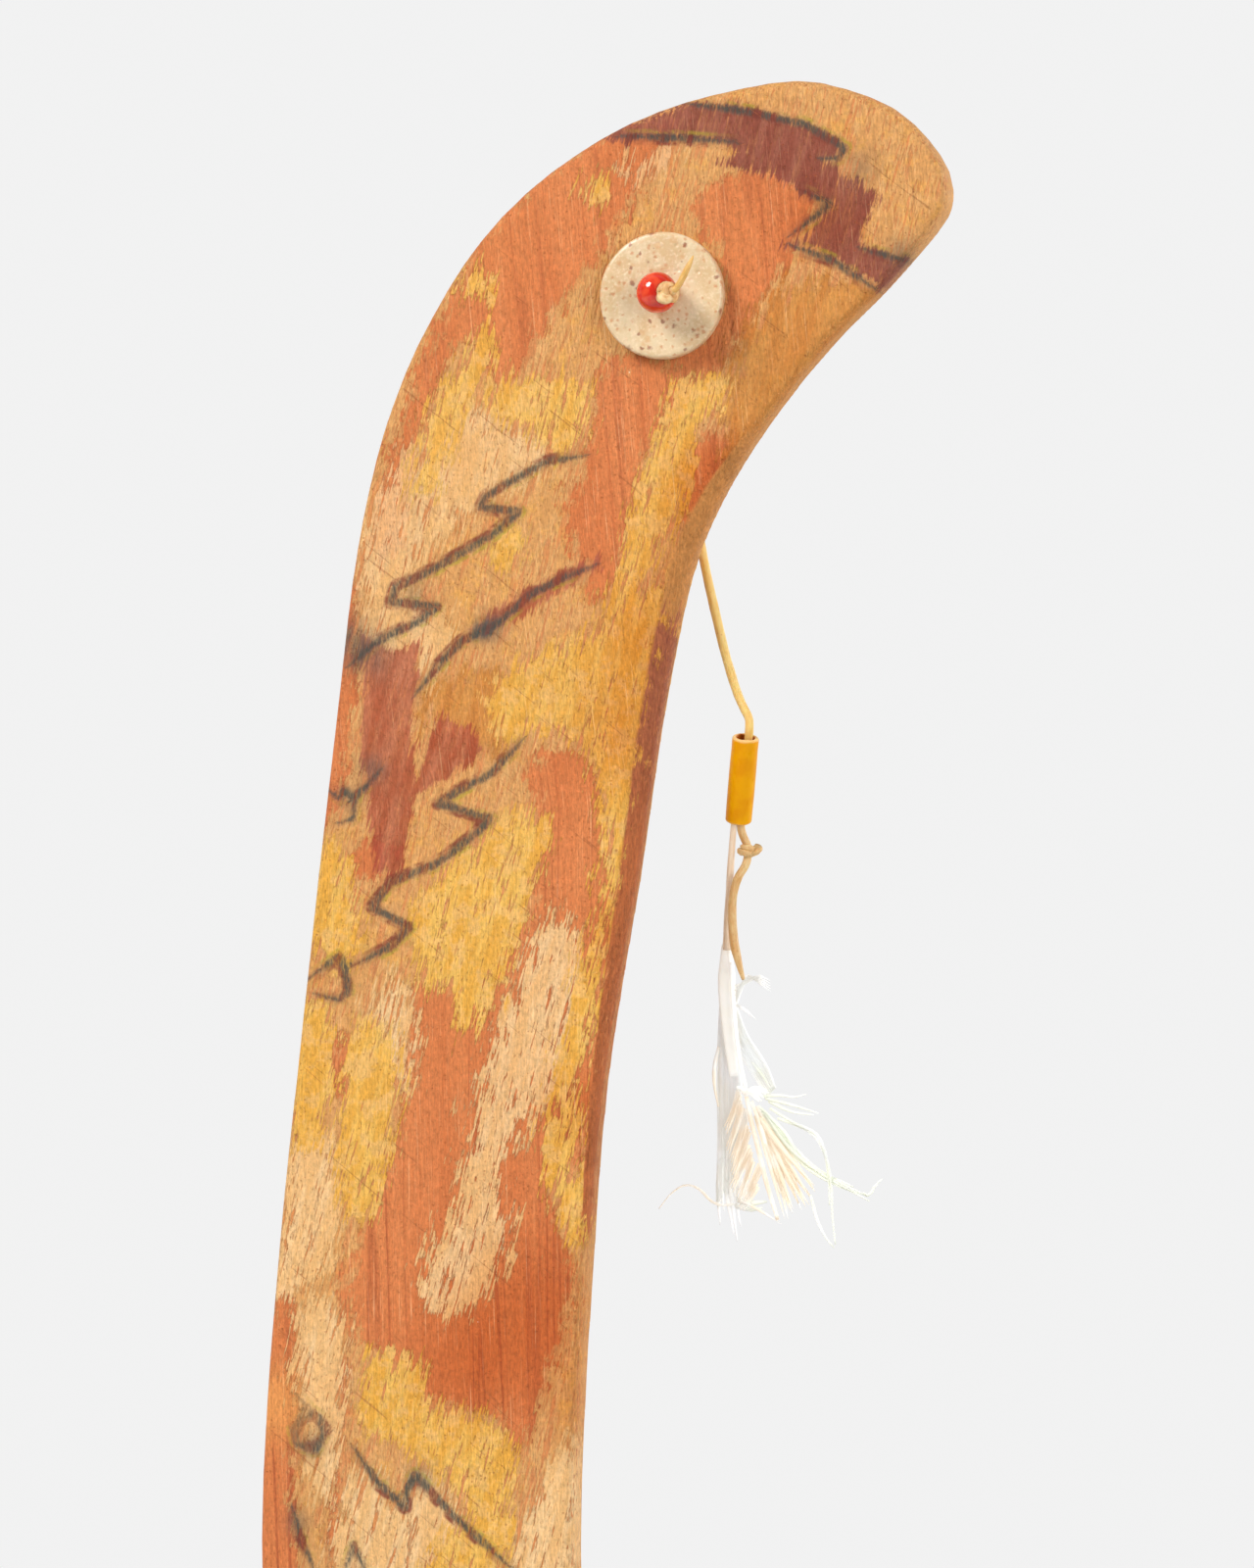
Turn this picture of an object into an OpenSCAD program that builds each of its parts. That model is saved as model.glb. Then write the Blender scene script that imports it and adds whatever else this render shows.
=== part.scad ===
// Painted throwing stick of the rabbit-stick kind, with a bone disk, a glass bead
// and a feather that hangs from a rawhide thong.
// The stick stands upright in the XZ plane and its painted face looks along -Y.
// The origin is at mid-thickness in the middle of the grip. Millimetres.

/* [Blade] */
// Thickness of the wooden blade
blade_t = 10; // [9:0.5:12]
// How far the rounded edge reaches in over each face
edge_w = 1.6; // [1.2:0.1:3]
// Extra width of the bevel carved inside each elbow
bevel_w = 4; // [0:0.5:5]
// Radius of the hole for the thong
hole_r = 1.2; // [1:0.1:1.5]

/* [Disk and bead] */
// Diameter of the bone disk
disk_d = 25.4; // [20:0.1:26]
// Thickness of the bone disk
disk_t = 3.2; // [2.4:0.1:3.2]
// Distance of the disk's own centre from its hole
disk_off = 2.2; // [0:0.1:2.5]
// Radius of the rounded rim of the disk
disk_edge = 0.9; // [0.3:0.1:1.1]
// Diameter of the red glass bead
bead_d = 8.2; // [8:0.1:8.4]
// Radius of the hole through the glass bead
bead_hole_r = 1.3; // [1.2:0.05:1.4]
// Lean of the glass bead towards +X
bead_lean = 40; // [38:1:42]

/* [Thong] */
// Radius of the thong through the blade, the disk and the beads
thread_r = 0.75; // [0.6:0.05:0.75]
// Radius of the thong where it hangs free
thong_r = 0.85; // [0.7:0.05:0.9]
// Radius of one lobe of a knot
lobe_r = 1.4; // [1.2:0.1:1.5]

/* [Tube bead] */
// Length of the tube bead
tube_l = 18.2; // [16:0.1:18.4]
// Outer radius of the tube bead
tube_r = 2.7; // [2.5:0.1:3]
// Radius of the tube bead's bore
tube_bore_r = 1.75; // [1.7:0.05:1.9]

/* [Feather] */
// Radius of the quill where it is wedged in the tube bead
quill_r = 0.65; // [0.5:0.05:0.65]
// Thickness of each layer of vane and barbs
vane_t = 0.6; // [0.4:0.1:0.7]

/* [Hidden] */

// Half of the outline, from the grip up to the tip: [outer x, outer z, inner x, inner z].
// The lower half is its mirror image.
stations = [
    [-33.5,   0,    33,     0],
    [-30.2,  55,    35.4,  55],
    [-25.9,  95,    38.7,  95],
    [-21.4, 135,    45.3, 135],
    [-16.6, 175,    51.6, 175],
    [-12.9, 203,    58.5, 203],
    [ -7.2, 227,    67,   219.5],
    [  3,   250,    77.5, 233.7],
    [ 17.8, 270,    87.7, 245.2],
    [ 38.7, 285,    96.5, 253.5],
    [ 62,   293,   103,   260.7],
    [ 84,   294.5, 106.8, 265.3],
    [102,   285.8, 109,   269]
];
tip = [109.4, 273.2];
outline_steps = 4;   // points along each stretch between two stations

// Section of the edge from the front face to the back face:
// [share of the half thickness, share of edge_w, share of bevel_w]
edge_section = [
    [-1, 1, 1], [-0.86, 0.4, 0.74], [-0.6, 0.1, 0.36], [-0.28, 0, 0.06],
    [0.3, 0, 0], [0.64, 0.1, 0], [0.88, 0.42, 0], [1, 1, 0]
];

hole = [50, 0, 252.5];       // where the thong goes through the blade
gap = 0.35;                  // clearance between the disk and the blade
face_y = -blade_t / 2;
disk_face_y = face_y - gap - disk_t;
bead_out = [sin(bead_lean), -cos(bead_lean)];                     // the bead's axis in XY
bead_back = bead_d / 2 - 0.2;                                     // centre to the bend behind it
bend_y = disk_face_y - 0.15 - bead_d / 2 + bead_back * cos(bead_lean);
bead_mid = [hole.x, bend_y, hole.z] + bead_back * [bead_out.x, bead_out.y, 0];
front_route = [[hole.x, blade_t / 2 + 0.1, hole.z], [hole.x, 0, hole.z], [hole.x, bend_y + 1.1, hole.z],
               [hole.x + 0.1, bend_y + 0.4, hole.z], [hole.x + 0.3, bend_y - 0.3, hole.z],
               bead_mid - 3 * [bead_out.x, bead_out.y, 0], bead_mid,
               bead_mid + (bead_d / 2 + 0.4) * [bead_out.x, bead_out.y, 0]];
knot_reach = 6.4;            // from the bead's centre to the middle of the front knot
knot_mid = bead_mid + knot_reach * [bead_out.x, bead_out.y, -0.1];
tail_route = [knot_mid + [1.1, -0.3, 0.8], knot_mid + [2.3, -0.9, 2.3],
              knot_mid + [3.6, -1.5, 4.4], knot_mid + [4.9, -1.8, 6.9]];

// The tube bead leans to the right and its top leans forward.
tube_mid = [64.4, 11.5, 155.95];
tube_tilt = 20;
tube_heading = -64;

// The thong bends down behind its hole, runs free past the inner edge of the blade and
// goes through the tube bead beside the quill, to a knot and a loose end.
bend_route = [[50, 5.3, 252.5], [50, 6.1, 252.5], [50, 6.9, 252.2], [50.1, 7.4, 251.5], [50.2, 7.5, 250.6]];
run_route = [[50.3, 7.5, 249.9], [50.6, 7.7, 245], [51.1, 8, 238], [52.2, 8.3, 229], [53.6, 8.6, 219.5],
             [55.2, 8.8, 210], [57, 8.9, 200.5], [59.2, 9, 190.5], [61.4, 9, 181.5], [63.6, 8.8, 174.5],
             [65.3, 8.5, 170.6], [66.5, 8.3, 168.3], [66.7, 8.2, 166.8]];
lower_route = [[66.6, 8.3, 166.5], [66.3, 9, 164.4], [65.4, 10.8, 158.9], [64.5, 12.6, 153.4],
               [63.6, 14.5, 147.4], [63.4, 15, 146], [63.8, 15.6, 144.2], [64.4, 16, 142.8]];
lower_knot = [64.6, 16.2, 141.2];
loose_route = [[64.5, 16.2, 139.8], [64, 16.1, 138.2], [62.7, 15.8, 136], [61.8, 15.7, 133], [61.4, 15.8, 129],
               [61.7, 16, 123], [62.6, 16.2, 118.6], [63.6, 16.4, 115]];

quill_route = [[62.9, 12.4, 152], [62.2, 13.9, 147.4], [61.4, 15.6, 142.2], [60.7, 17.1, 137.2],
               [60.2, 18.5, 131.6], [59.6, 19.6, 126], [59.1, 20.3, 120]];   // first point in the tube bead
sheath_route = [[59, 20.4, 119.6], [59.1, 20.6, 112], [59.6, 20.7, 104], [60.4, 20.8, 97]];
shaft_route = [[60.5, 19.1, 116.6], [61.2, 19.2, 109.5], [61.9, 19.2, 102.5], [63.3, 19.3, 93.8]];
second_route = [[63.5, 19.3, 90.6], [65.3, 19.4, 82.5], [67.6, 19.5, 74], [70, 19.6, 65.5]];

vane_left_outline = [[58.2, 119], [60.2, 113], [61.2, 97], [62, 86], [61.6, 76], [61, 60.5], [59, 66],
                     [57.3, 64.5], [56.6, 72], [57.4, 82], [56.4, 91], [56.8, 101], [57.3, 111]];
vane_right_outline = [[62.6, 106], [64.6, 101], [67.2, 95.5], [69.4, 92.4], [67.4, 88.6], [64.6, 88], [63.2, 94]];
fan_left_outline = [[58.6, 90], [63.4, 92], [64.6, 86], [64.8, 78], [66, 71], [62.6, 68.8], [59.4, 70.6], [57.8, 80]];
fan_right_outline = [[64.6, 87.4], [68, 86], [71.4, 80.5], [78, 74.5], [77.4, 67.6], [71.6, 65.2], [68.6, 70],
                     [66, 79]];

// ---- helpers ----

function ease(low, high, v) = let (t = min(1, max(0, (v - low) / (high - low)))) t * t * (3 - 2 * t);
function unit(v) = v / norm(v);
function flip(p) = [p.x, -p.y];

// Smooth closed curve through the knots, with steps points from each knot to the next.
function slope(knots, i) =
    let (n = len(knots), a = knots[(i + n - 1) % n], b = knots[i % n], c = knots[(i + 1) % n],
         da = norm(b - a), dc = norm(c - b))
    ((b - a) / da * dc + (c - b) / dc * da) / (da + dc);
function along(knots, i, t) =
    let (n = len(knots), a = knots[i], b = knots[(i + 1) % n], d = norm(b - a))
    a * (2 * t^3 - 3 * t^2 + 1) + slope(knots, i) * d * (t^3 - 2 * t^2 + t)
    + b * (3 * t^2 - 2 * t^3) + slope(knots, i + 1) * d * (t^3 - t^2);
function closed_curve(knots, steps) =
    [for (i = [0:len(knots) - 1]) for (k = [0:steps - 1]) along(knots, i, k / steps)];

// How strongly the inner edge is bevelled at a point of the outline.
function bevel_share(p) = p.x < 0 ? 0 : ease(70, 185, abs(p.y)) * (1 - ease(203, 228, abs(p.y)));

module place(at, tilt, heading) {
    translate(at) rotate([0, tilt, heading]) children();
}

// Round cord along a route, tapered from r1 to r2.
module cord(route, r1, r2, sides = 8) {
    n = len(route);
    points = [for (i = [0:n - 1])
        let (t = unit(route[min(i + 1, n - 1)] - route[max(i - 1, 0)]),
             a = unit(cross(t, [1, 0, 0])), b = cross(t, a), r = r1 + (r2 - r1) * i / (n - 1))
        for (k = [0:sides - 1]) route[i] + r * (cos(360 * k / sides) * a + sin(360 * k / sides) * b)];
    walls = [for (i = [0:n - 2]) for (k = [0:sides - 1])
        let (m = (k + 1) % sides)
        [i * sides + k, i * sides + m, (i + 1) * sides + m, (i + 1) * sides + k]];
    first = [for (k = [sides - 1:-1:0]) k];
    last = [for (k = [0:sides - 1]) (n - 1) * sides + k];
    polyhedron(points, concat([first], walls, [last]));
}

// Thin upright layer of the feather, its front at depth y.
module layer(outline, y) {
    translate([0, y + vane_t, 0]) rotate([90, 0, 0]) linear_extrude(vane_t) polygon(outline);
}

// ---- the stick ----

module blade_body() {
    top = len(stations) - 1;
    inner = [for (i = [top:-1:0]) [stations[i][2], stations[i][3]]];
    outer = [for (i = [0:top]) [stations[i][0], stations[i][1]]];
    knots = concat([tip], inner, [for (i = [top - 1:-1:0]) flip(inner[i])],
                   [flip(tip)], [for (i = [top:-1:1]) flip(outer[i])], outer);
    ring = closed_curve(knots, outline_steps);
    n = len(ring);
    rings = [for (s = edge_section) for (i = [0:n - 1])
        let (p = ring[i], t = unit(ring[(i + 1) % n] - ring[(i + n - 1) % n]), inward = [t.y, -t.x],
             q = p + inward * (s[1] * edge_w + s[2] * bevel_w * bevel_share(p)))
        [q.x, s[0] * blade_t / 2, q.y]];
    levels = len(edge_section);
    walls = [for (k = [0:levels - 2]) for (i = [0:n - 1])
        let (j = (i + 1) % n) [k * n + i, k * n + j, (k + 1) * n + j, (k + 1) * n + i]];
    // The flat faces run as strips across the stick, from the inner to the outer edge.
    strips = [for (i = [0:n / 2 - 1]) [i, i + 1, (n - i - 1) % n, (n - i) % n]];
    last = (levels - 1) * n;
    front = [for (s = strips) [s[3], s[2], s[1], s[0]]];
    back = [for (s = strips) [for (v = s) v + last]];
    polyhedron(rings, concat(front, walls, back));
}

module blade() {
    color("peru") difference() {
        blade_body();
        translate(hole) rotate([90, 0, 0]) cylinder(r = hole_r, h = blade_t + 2, center = true, $fn = 32);
    }
}

// ---- what is tied to its face ----

module antler_disk() {
    r = disk_d / 2;
    color("antiquewhite") translate([hole.x, face_y - gap, hole.z]) rotate([90, 0, 0]) difference() {
        translate([disk_off, 0, 0]) rotate_extrude($fn = 72) union() {
            square([r - disk_edge, disk_t]);
            translate([0, disk_edge]) square([r, disk_t - 2 * disk_edge]);
            for (y = [disk_edge, disk_t - disk_edge])
                translate([r - disk_edge, y]) circle(r = disk_edge, $fn = 32);
        }
        translate([0, 0, -1]) cylinder(r = hole_r + 0.1, h = disk_t + 2, $fn = 32);
    }
}

module red_bead() {
    color("firebrick") translate(bead_mid) rotate([0, 0, bead_lean]) rotate([90, 0, 0]) difference() {
        sphere(d = bead_d, $fn = 48);
        cylinder(r = bead_hole_r, h = bead_d + 2, center = true, $fn = 32);
    }
}

module thong_front() {
    color("burlywood") cord(front_route, thread_r, thread_r, 12);
}

module knot_front() {
    color("burlywood") for (lift = [-0.8, 0.7])
        translate(knot_mid + [0.1 * lift, 0, lift]) sphere(r = lobe_r, $fn = 24);
}

module tail_front() {
    color("burlywood") cord(tail_route, 0.65, 0.55);
}

// ---- the thong behind the blade ----

module thong_bend() {
    color("goldenrod") cord(bend_route, thong_r, thong_r);
}

module thong_run() {
    color("goldenrod") cord(run_route, thong_r, thread_r);
}

module thong_lower() {
    color("goldenrod") cord(lower_route, thread_r, thread_r);
}

module knot_lower() {
    color("goldenrod") for (side = [-1, 1])
        translate(lower_knot + [0.35 * side, 0.1 * side, 0.75 * side]) sphere(r = lobe_r, $fn = 24);
}

module thong_tail() {
    color("goldenrod") cord(loose_route, thong_r, thong_r);
}

module tube_bead() {
    color("orange") place(tube_mid, tube_tilt, tube_heading) difference() {
        cylinder(r = tube_r, h = tube_l, center = true, $fn = 48);
        cylinder(r = tube_bore_r, h = tube_l + 2, center = true, $fn = 48);
    }
}

// ---- the feather ----

module feather_quill() {
    color("linen") cord(quill_route, quill_r, 0.8);
}

module feather_sheath() {
    color("white") cord(sheath_route, 0.9, 0.6);
}

module feather_shaft() {
    color("ivory") cord(shaft_route, 0.5, 0.4);
}

module second_shaft() {
    color("ivory") cord(second_route, 0.45, 0.35);
}

module vane_left() {
    color("whitesmoke") layer(vane_left_outline, 22);
}

module vane_right() {
    color("whitesmoke") layer(vane_right_outline, 20.2);
}

module barb_fan_left() {
    color("bisque") layer(fan_left_outline, 20.4);
}

module barb_fan_right() {
    color("bisque") layer(fan_right_outline, 20.4);
}

blade();
antler_disk();
red_bead();
thong_front();
knot_front();
tail_front();
thong_bend();
thong_run();
thong_lower();
knot_lower();
thong_tail();
tube_bead();
feather_quill();
feather_sheath();
feather_shaft();
second_shaft();
vane_left();
vane_right();
barb_fan_left();
barb_fan_right();
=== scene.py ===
import math
import random

import bmesh
import bpy
import numpy as np
from mathutils import Matrix, Vector, noise


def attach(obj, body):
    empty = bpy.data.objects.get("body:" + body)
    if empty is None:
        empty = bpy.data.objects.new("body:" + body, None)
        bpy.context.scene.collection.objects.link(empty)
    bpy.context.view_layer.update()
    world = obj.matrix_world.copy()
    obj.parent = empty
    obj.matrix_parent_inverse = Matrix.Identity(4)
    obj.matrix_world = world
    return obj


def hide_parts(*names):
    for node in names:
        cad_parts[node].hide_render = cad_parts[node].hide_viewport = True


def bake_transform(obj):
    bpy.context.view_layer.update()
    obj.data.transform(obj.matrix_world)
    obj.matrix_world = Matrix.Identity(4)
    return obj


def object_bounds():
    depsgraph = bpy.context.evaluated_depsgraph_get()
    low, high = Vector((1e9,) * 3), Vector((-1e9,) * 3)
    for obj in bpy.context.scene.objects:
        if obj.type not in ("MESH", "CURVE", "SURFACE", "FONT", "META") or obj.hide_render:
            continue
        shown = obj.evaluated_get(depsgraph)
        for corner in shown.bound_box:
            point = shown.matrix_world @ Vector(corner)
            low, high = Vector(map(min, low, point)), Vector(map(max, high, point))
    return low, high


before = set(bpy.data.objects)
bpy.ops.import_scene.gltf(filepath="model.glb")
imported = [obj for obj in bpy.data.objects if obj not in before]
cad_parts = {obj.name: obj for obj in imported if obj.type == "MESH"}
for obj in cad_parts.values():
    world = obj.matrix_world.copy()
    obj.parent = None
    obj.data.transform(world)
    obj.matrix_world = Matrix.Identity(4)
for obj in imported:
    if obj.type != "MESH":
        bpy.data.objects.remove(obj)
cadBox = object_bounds()
scene = bpy.context.scene
mm = 0.001
boreAt = Vector((0.05, 0, 0.2525))      # middle of the hole through the blade and the disk
faceOn = Matrix.Rotation(math.radians(90), 4, "X")
boreWay = Matrix.Translation(boreAt) @ faceOn
paintReach = 9.0                        # mm from an outline up to which depth is counted


viewer = {
    "turn": 14,             # degrees round the object from the painted face
    "distance": 0.9,
    "aim": (0.04066, 0.01014, 0.155),
    "lens": 101.25,
    "film": 36,
}


def addCamera():
    data = bpy.data.cameras.new("viewCamera")
    data.lens = viewer["lens"]
    data.sensor_width = viewer["film"]
    data.clip_start = 0.05
    data.clip_end = 20
    made = bpy.data.objects.new("viewCamera", data)
    scene.collection.objects.link(made)
    turn = math.radians(viewer["turn"])
    back = Vector((math.sin(turn), -math.cos(turn), 0)) * viewer["distance"]
    made.location = Vector(viewer["aim"]) + back
    made.rotation_euler = (math.radians(90), 0, turn)
    scene.camera = made


addCamera()
print("camera placed")


def newPiece(name, bm, material=None, smooth=True):
    bmesh.ops.recalc_face_normals(bm, faces=bm.faces)
    mesh = bpy.data.meshes.new(name)
    bm.to_mesh(mesh)
    bm.free()
    mesh.polygons.foreach_set("use_smooth", [smooth] * len(mesh.polygons))
    made = bpy.data.objects.new(name, mesh)
    scene.collection.objects.link(made)
    if material:
        mesh.materials.append(material)
    return made


def join(made, body, slotName, *nodes):
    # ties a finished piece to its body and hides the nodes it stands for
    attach(made, body)
    if nodes:
        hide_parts(*nodes)
    return made


def applyModifiers(made):
    graph = bpy.context.evaluated_depsgraph_get()
    mesh = bpy.data.meshes.new_from_object(made.evaluated_get(graph))
    made.modifiers.clear()
    old = made.data
    made.data = mesh
    bpy.data.meshes.remove(old)


def voxelSkin(made, size, smoothing):
    remesh = made.modifiers.new("evenSkin", "REMESH")
    remesh.mode = "VOXEL"
    remesh.voxel_size = size
    remesh.use_smooth_shade = True
    soft = made.modifiers.new("softened", "SMOOTH")
    soft.factor = 0.5
    soft.iterations = smoothing


def cutHole(made, radius, length, sides):
    # the round hole that the thong runs through
    bm = bmesh.new()
    bmesh.ops.create_cone(bm, cap_ends=True, segments=sides, radius1=radius, radius2=radius,
                          depth=length, matrix=boreWay)
    drill = newPiece("drill", bm)
    cut = made.modifiers.new("hole", "BOOLEAN")
    cut.operation = "DIFFERENCE"
    cut.solver = "EXACT"
    cut.object = drill
    applyModifiers(made)
    bpy.data.objects.remove(drill)


def pushOut(made, howFar):
    # moves each point along its normal, as far as howFar says for its place in mm
    bm = bmesh.new()
    bm.from_mesh(made.data)
    for v in bm.verts:
        v.co += v.normal * howFar(v.co / mm)
    bm.to_mesh(made.data)
    bm.free()


def curveThrough(points, step):
    # a smooth line through the given points, resampled at about one step
    points = [Vector(p) for p in points]
    ends = [points[0] * 2 - points[1]] + points + [points[-1] * 2 - points[-2]]
    fine = []
    for a, b, c, d in zip(ends, ends[1:], ends[2:], ends[3:]):
        for i in range(12):
            t = i / 12
            fine.append(0.5 * (2 * b + (c - a) * t + (2 * a - 5 * b + 4 * c - d) * t * t
                               + (3 * b - a - 3 * c + d) * t ** 3))
    fine.append(points[-1])
    run = [0]
    for p, q in zip(fine, fine[1:]):
        run.append(run[-1] + (q - p).length)
    count = max(3, round(run[-1] / step) + 1)
    line, at = [], 0
    for i in range(count):
        want = run[-1] * i / (count - 1)
        while at < len(run) - 2 and run[at + 1] < want:
            at += 1
        span = run[at + 1] - run[at]
        line.append(fine[at].lerp(fine[at + 1], (want - run[at]) / span if span else 0))
    return line


def lengthOf(line):
    return sum((q - p).length for p, q in zip(line, line[1:]))


def ringFrames(line, normal=None):
    # one frame for each ring: Z runs along the line, and with a normal given Y stays near it
    side = Vector((0.3, 1, 0.2))
    frames = []
    for i, p in enumerate(line):
        ahead = (line[min(i + 1, len(line) - 1)] - line[max(i - 1, 0)]).normalized()
        if normal:
            side = Vector(normal).cross(ahead).normalized()
        else:
            side = (side - ahead * side.dot(ahead)).normalized()
        turn = Matrix((side, ahead.cross(side), ahead)).transposed().to_4x4()
        frames.append(Matrix.Translation(p) @ turn)
    return frames


def sweep(bm, line, wide, thick=None, sides=10, normal=None, twist=0.0, rough=0.0, seed=0):
    # sweeps an oval along a line; wide and thick are half sizes, one for each ring or one for all
    count = len(line)
    wide = wide if hasattr(wide, "__len__") else [wide] * count
    thick = wide if thick is None else thick
    thick = thick if hasattr(thick, "__len__") else [thick] * count
    lay = bm.verts.layers.float_vector.get("lay") or bm.verts.layers.float_vector.new("lay")
    edges, last, run = None, None, 0.0
    for i, base in enumerate(ringFrames(line, normal)):
        spin = Matrix.Rotation(twist * i / max(1, count - 1), 4, "Z")
        place = base @ spin @ Matrix.Diagonal((max(wide[i], 4e-6), max(thick[i], 4e-6), 1, 1))
        if edges is None:
            ring = bmesh.ops.create_circle(bm, cap_ends=True, segments=sides, radius=1, matrix=place)
            verts = ring["verts"]
            edges = list({e for v in verts for e in v.link_edges})
        else:
            grown = bmesh.ops.extrude_edge_only(bm, edges=edges)["geom"]
            verts = [g for g in grown if isinstance(g, bmesh.types.BMVert)]
            edges = [g for g in grown if isinstance(g, bmesh.types.BMEdge)
                     and all(v in verts for v in g.verts)]
            bmesh.ops.transform(bm, matrix=place @ last.inverted(), verts=verts)
            run += (line[i] - line[i - 1]).length
        last = place
        for v in verts:
            around = (place.inverted() @ v.co).xy
            v[lay] = (around.x, around.y, run / mm)
            if rough:
                bump = noise.noise(Vector((around.x * 1.3, around.y * 1.3, run / mm * 0.9 + seed * 7)))
                v.co += (v.co - line[i]) * bump * rough
    bmesh.ops.contextual_create(bm, geom=edges)
    return bm


def lathe(bm, profile, middle, axis, steps=48):
    # spins a profile of (distance along the axis, radius) round the axis through middle
    axis = Vector(axis).normalized()
    turn = axis.to_track_quat("Z", "Y").to_matrix().to_4x4()
    place = Matrix.Translation(middle) @ turn
    verts = [bm.verts.new(place @ Vector((radius, 0, along))) for along, radius in profile]
    edges = [bm.edges.new(pair) for pair in zip(verts, verts[1:])]
    bmesh.ops.spin(bm, geom=verts + edges, cent=middle, axis=axis, angle=math.tau,
                   steps=steps, use_merge=True)
    bmesh.ops.remove_doubles(bm, verts=bm.verts, dist=1e-6)
    return bm


def arc(centre, radius, start, end, steps):
    # points of an arc in the (along, radius) plane, angles in degrees
    turns = [math.radians(start + (end - start) * i / steps) for i in range(steps + 1)]
    return [(centre[0] + radius * math.cos(t), centre[1] + radius * math.sin(t)) for t in turns]


def addNode(tree, kind, inputs=None, **settings):
    made = tree.nodes.new("ShaderNode" + kind)
    for name, value in settings.items():
        setattr(made, name, value)
    for name, value in (inputs or {}).items():
        if isinstance(value, bpy.types.NodeSocket):
            tree.links.new(value, made.inputs[name])
        else:
            made.inputs[name].default_value = value
    return made


def maths(tree, operation, *values):
    return addNode(tree, "Math", dict(enumerate(values)), operation=operation).outputs[0]


def times(tree, first, second):
    return maths(tree, "MULTIPLY", first, second)


def soften(tree, value, low, high, first=0.0, last=1.0):
    # smooth step from first to last as value goes from low to high
    made = addNode(tree, "MapRange", interpolation_type="SMOOTHSTEP", inputs={
        "Value": value, "From Min": low, "From Max": high, "To Min": first, "To Max": last})
    return made.outputs["Result"]


def colour(red, green, blue):
    # a display colour of 0 to 255 as the linear one that shaders use
    def linear(c):
        c = c / 255
        return c / 12.92 if c < 0.04045 else ((c + 0.055) / 1.055) ** 2.4
    return (linear(red), linear(green), linear(blue), 1)


def blendColours(tree, amount, first, second, how="MIX"):
    made = addNode(tree, "Mix", data_type="RGBA", blend_type=how,
                   inputs={0: amount, 6: first, 7: second})
    return made.outputs[2]


def dab(tree, skin, mask, amount, tint):
    # the tint laid over the skin where the mask is, at part of its full strength
    return blendColours(tree, times(tree, mask, amount), skin, tint)


def clouds(tree, place, scale, detail, **more):
    inputs = {"Vector": place, "Scale": scale, "Detail": detail}
    return addNode(tree, "TexNoise", {**inputs, **more}).outputs["Fac"]


def turned(tree, place, degrees):
    # the place turned about the stick's thickness
    return addNode(tree, "Mapping", {
        "Vector": place, "Rotation": (0, math.radians(degrees), 0)}).outputs[0]


def attribute(tree, name, output="Fac"):
    return addNode(tree, "Attribute", attribute_name=name).outputs[output]


def newGroup(name, takes, gives):
    tree = bpy.data.node_groups.new(name, "ShaderNodeTree")
    for socket, kind, value in takes:
        made = tree.interface.new_socket(socket, in_out="INPUT", socket_type="NodeSocket" + kind)
        if value is not None:
            made.default_value = value
    for socket, kind in gives:
        tree.interface.new_socket(socket, in_out="OUTPUT", socket_type="NodeSocket" + kind)
    return tree, tree.nodes.new("NodeGroupInput"), tree.nodes.new("NodeGroupOutput")


def useGroup(tree, group, **values):
    # underscores in the keywords stand for the spaces in the sockets' names
    made = tree.nodes.new("ShaderNodeGroup")
    made.node_tree = group
    for name, value in values.items():
        socket = made.inputs[name.replace("_", " ")]
        if isinstance(value, bpy.types.NodeSocket):
            tree.links.new(value, socket)
        else:
            socket.default_value = value
    return made.outputs


def makeStreaks():
    # noise drawn out along one direction: across and along are in features per unit of the vector
    tree, takes, gives = newGroup(
        "streaks",
        [("Vector", "Vector", None), ("Across", "Float", 1.0), ("Along", "Float", 0.1),
         ("Detail", "Float", 4.0), ("Contrast", "Float", 0.25)],
        [("Mask", "Float"), ("Raw", "Float")])
    parts = addNode(tree, "SeparateXYZ", {0: takes.outputs["Vector"]}).outputs
    wide = [times(tree, parts[i], takes.outputs["Across"]) for i in range(2)]
    long = times(tree, parts[2], takes.outputs["Along"])
    drawn = addNode(tree, "CombineXYZ", {0: wide[0], 1: wide[1], 2: long}).outputs[0]
    raw = clouds(tree, drawn, 1.0, takes.outputs["Detail"], Roughness=0.6)
    low = maths(tree, "SUBTRACT", 0.5, takes.outputs["Contrast"])
    high = maths(tree, "ADD", 0.5, takes.outputs["Contrast"])
    tree.links.new(soften(tree, raw, low, high), gives.inputs["Mask"])
    tree.links.new(raw, gives.inputs["Raw"])
    return tree


def makeSpecks():
    # scattered round spots: Amount is the share of cells that has one
    tree, takes, gives = newGroup(
        "specks",
        [("Vector", "Vector", None), ("Scale", "Float", 1.0), ("Size", "Float", 0.25),
         ("Amount", "Float", 0.5)],
        [("Mask", "Float")])
    cells = addNode(tree, "TexVoronoi", {"Vector": takes.outputs["Vector"],
                                         "Scale": takes.outputs["Scale"]})
    pick = addNode(tree, "SeparateColor", {0: cells.outputs["Color"]}).outputs
    radius = times(tree, takes.outputs["Size"], pick[1])
    spot = soften(tree, cells.outputs["Distance"], times(tree, radius, 1.3),
                  times(tree, radius, 0.5))
    chosen = maths(tree, "LESS_THAN", pick[0], takes.outputs["Amount"])
    tree.links.new(times(tree, spot, chosen), gives.inputs["Mask"])
    return tree


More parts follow.
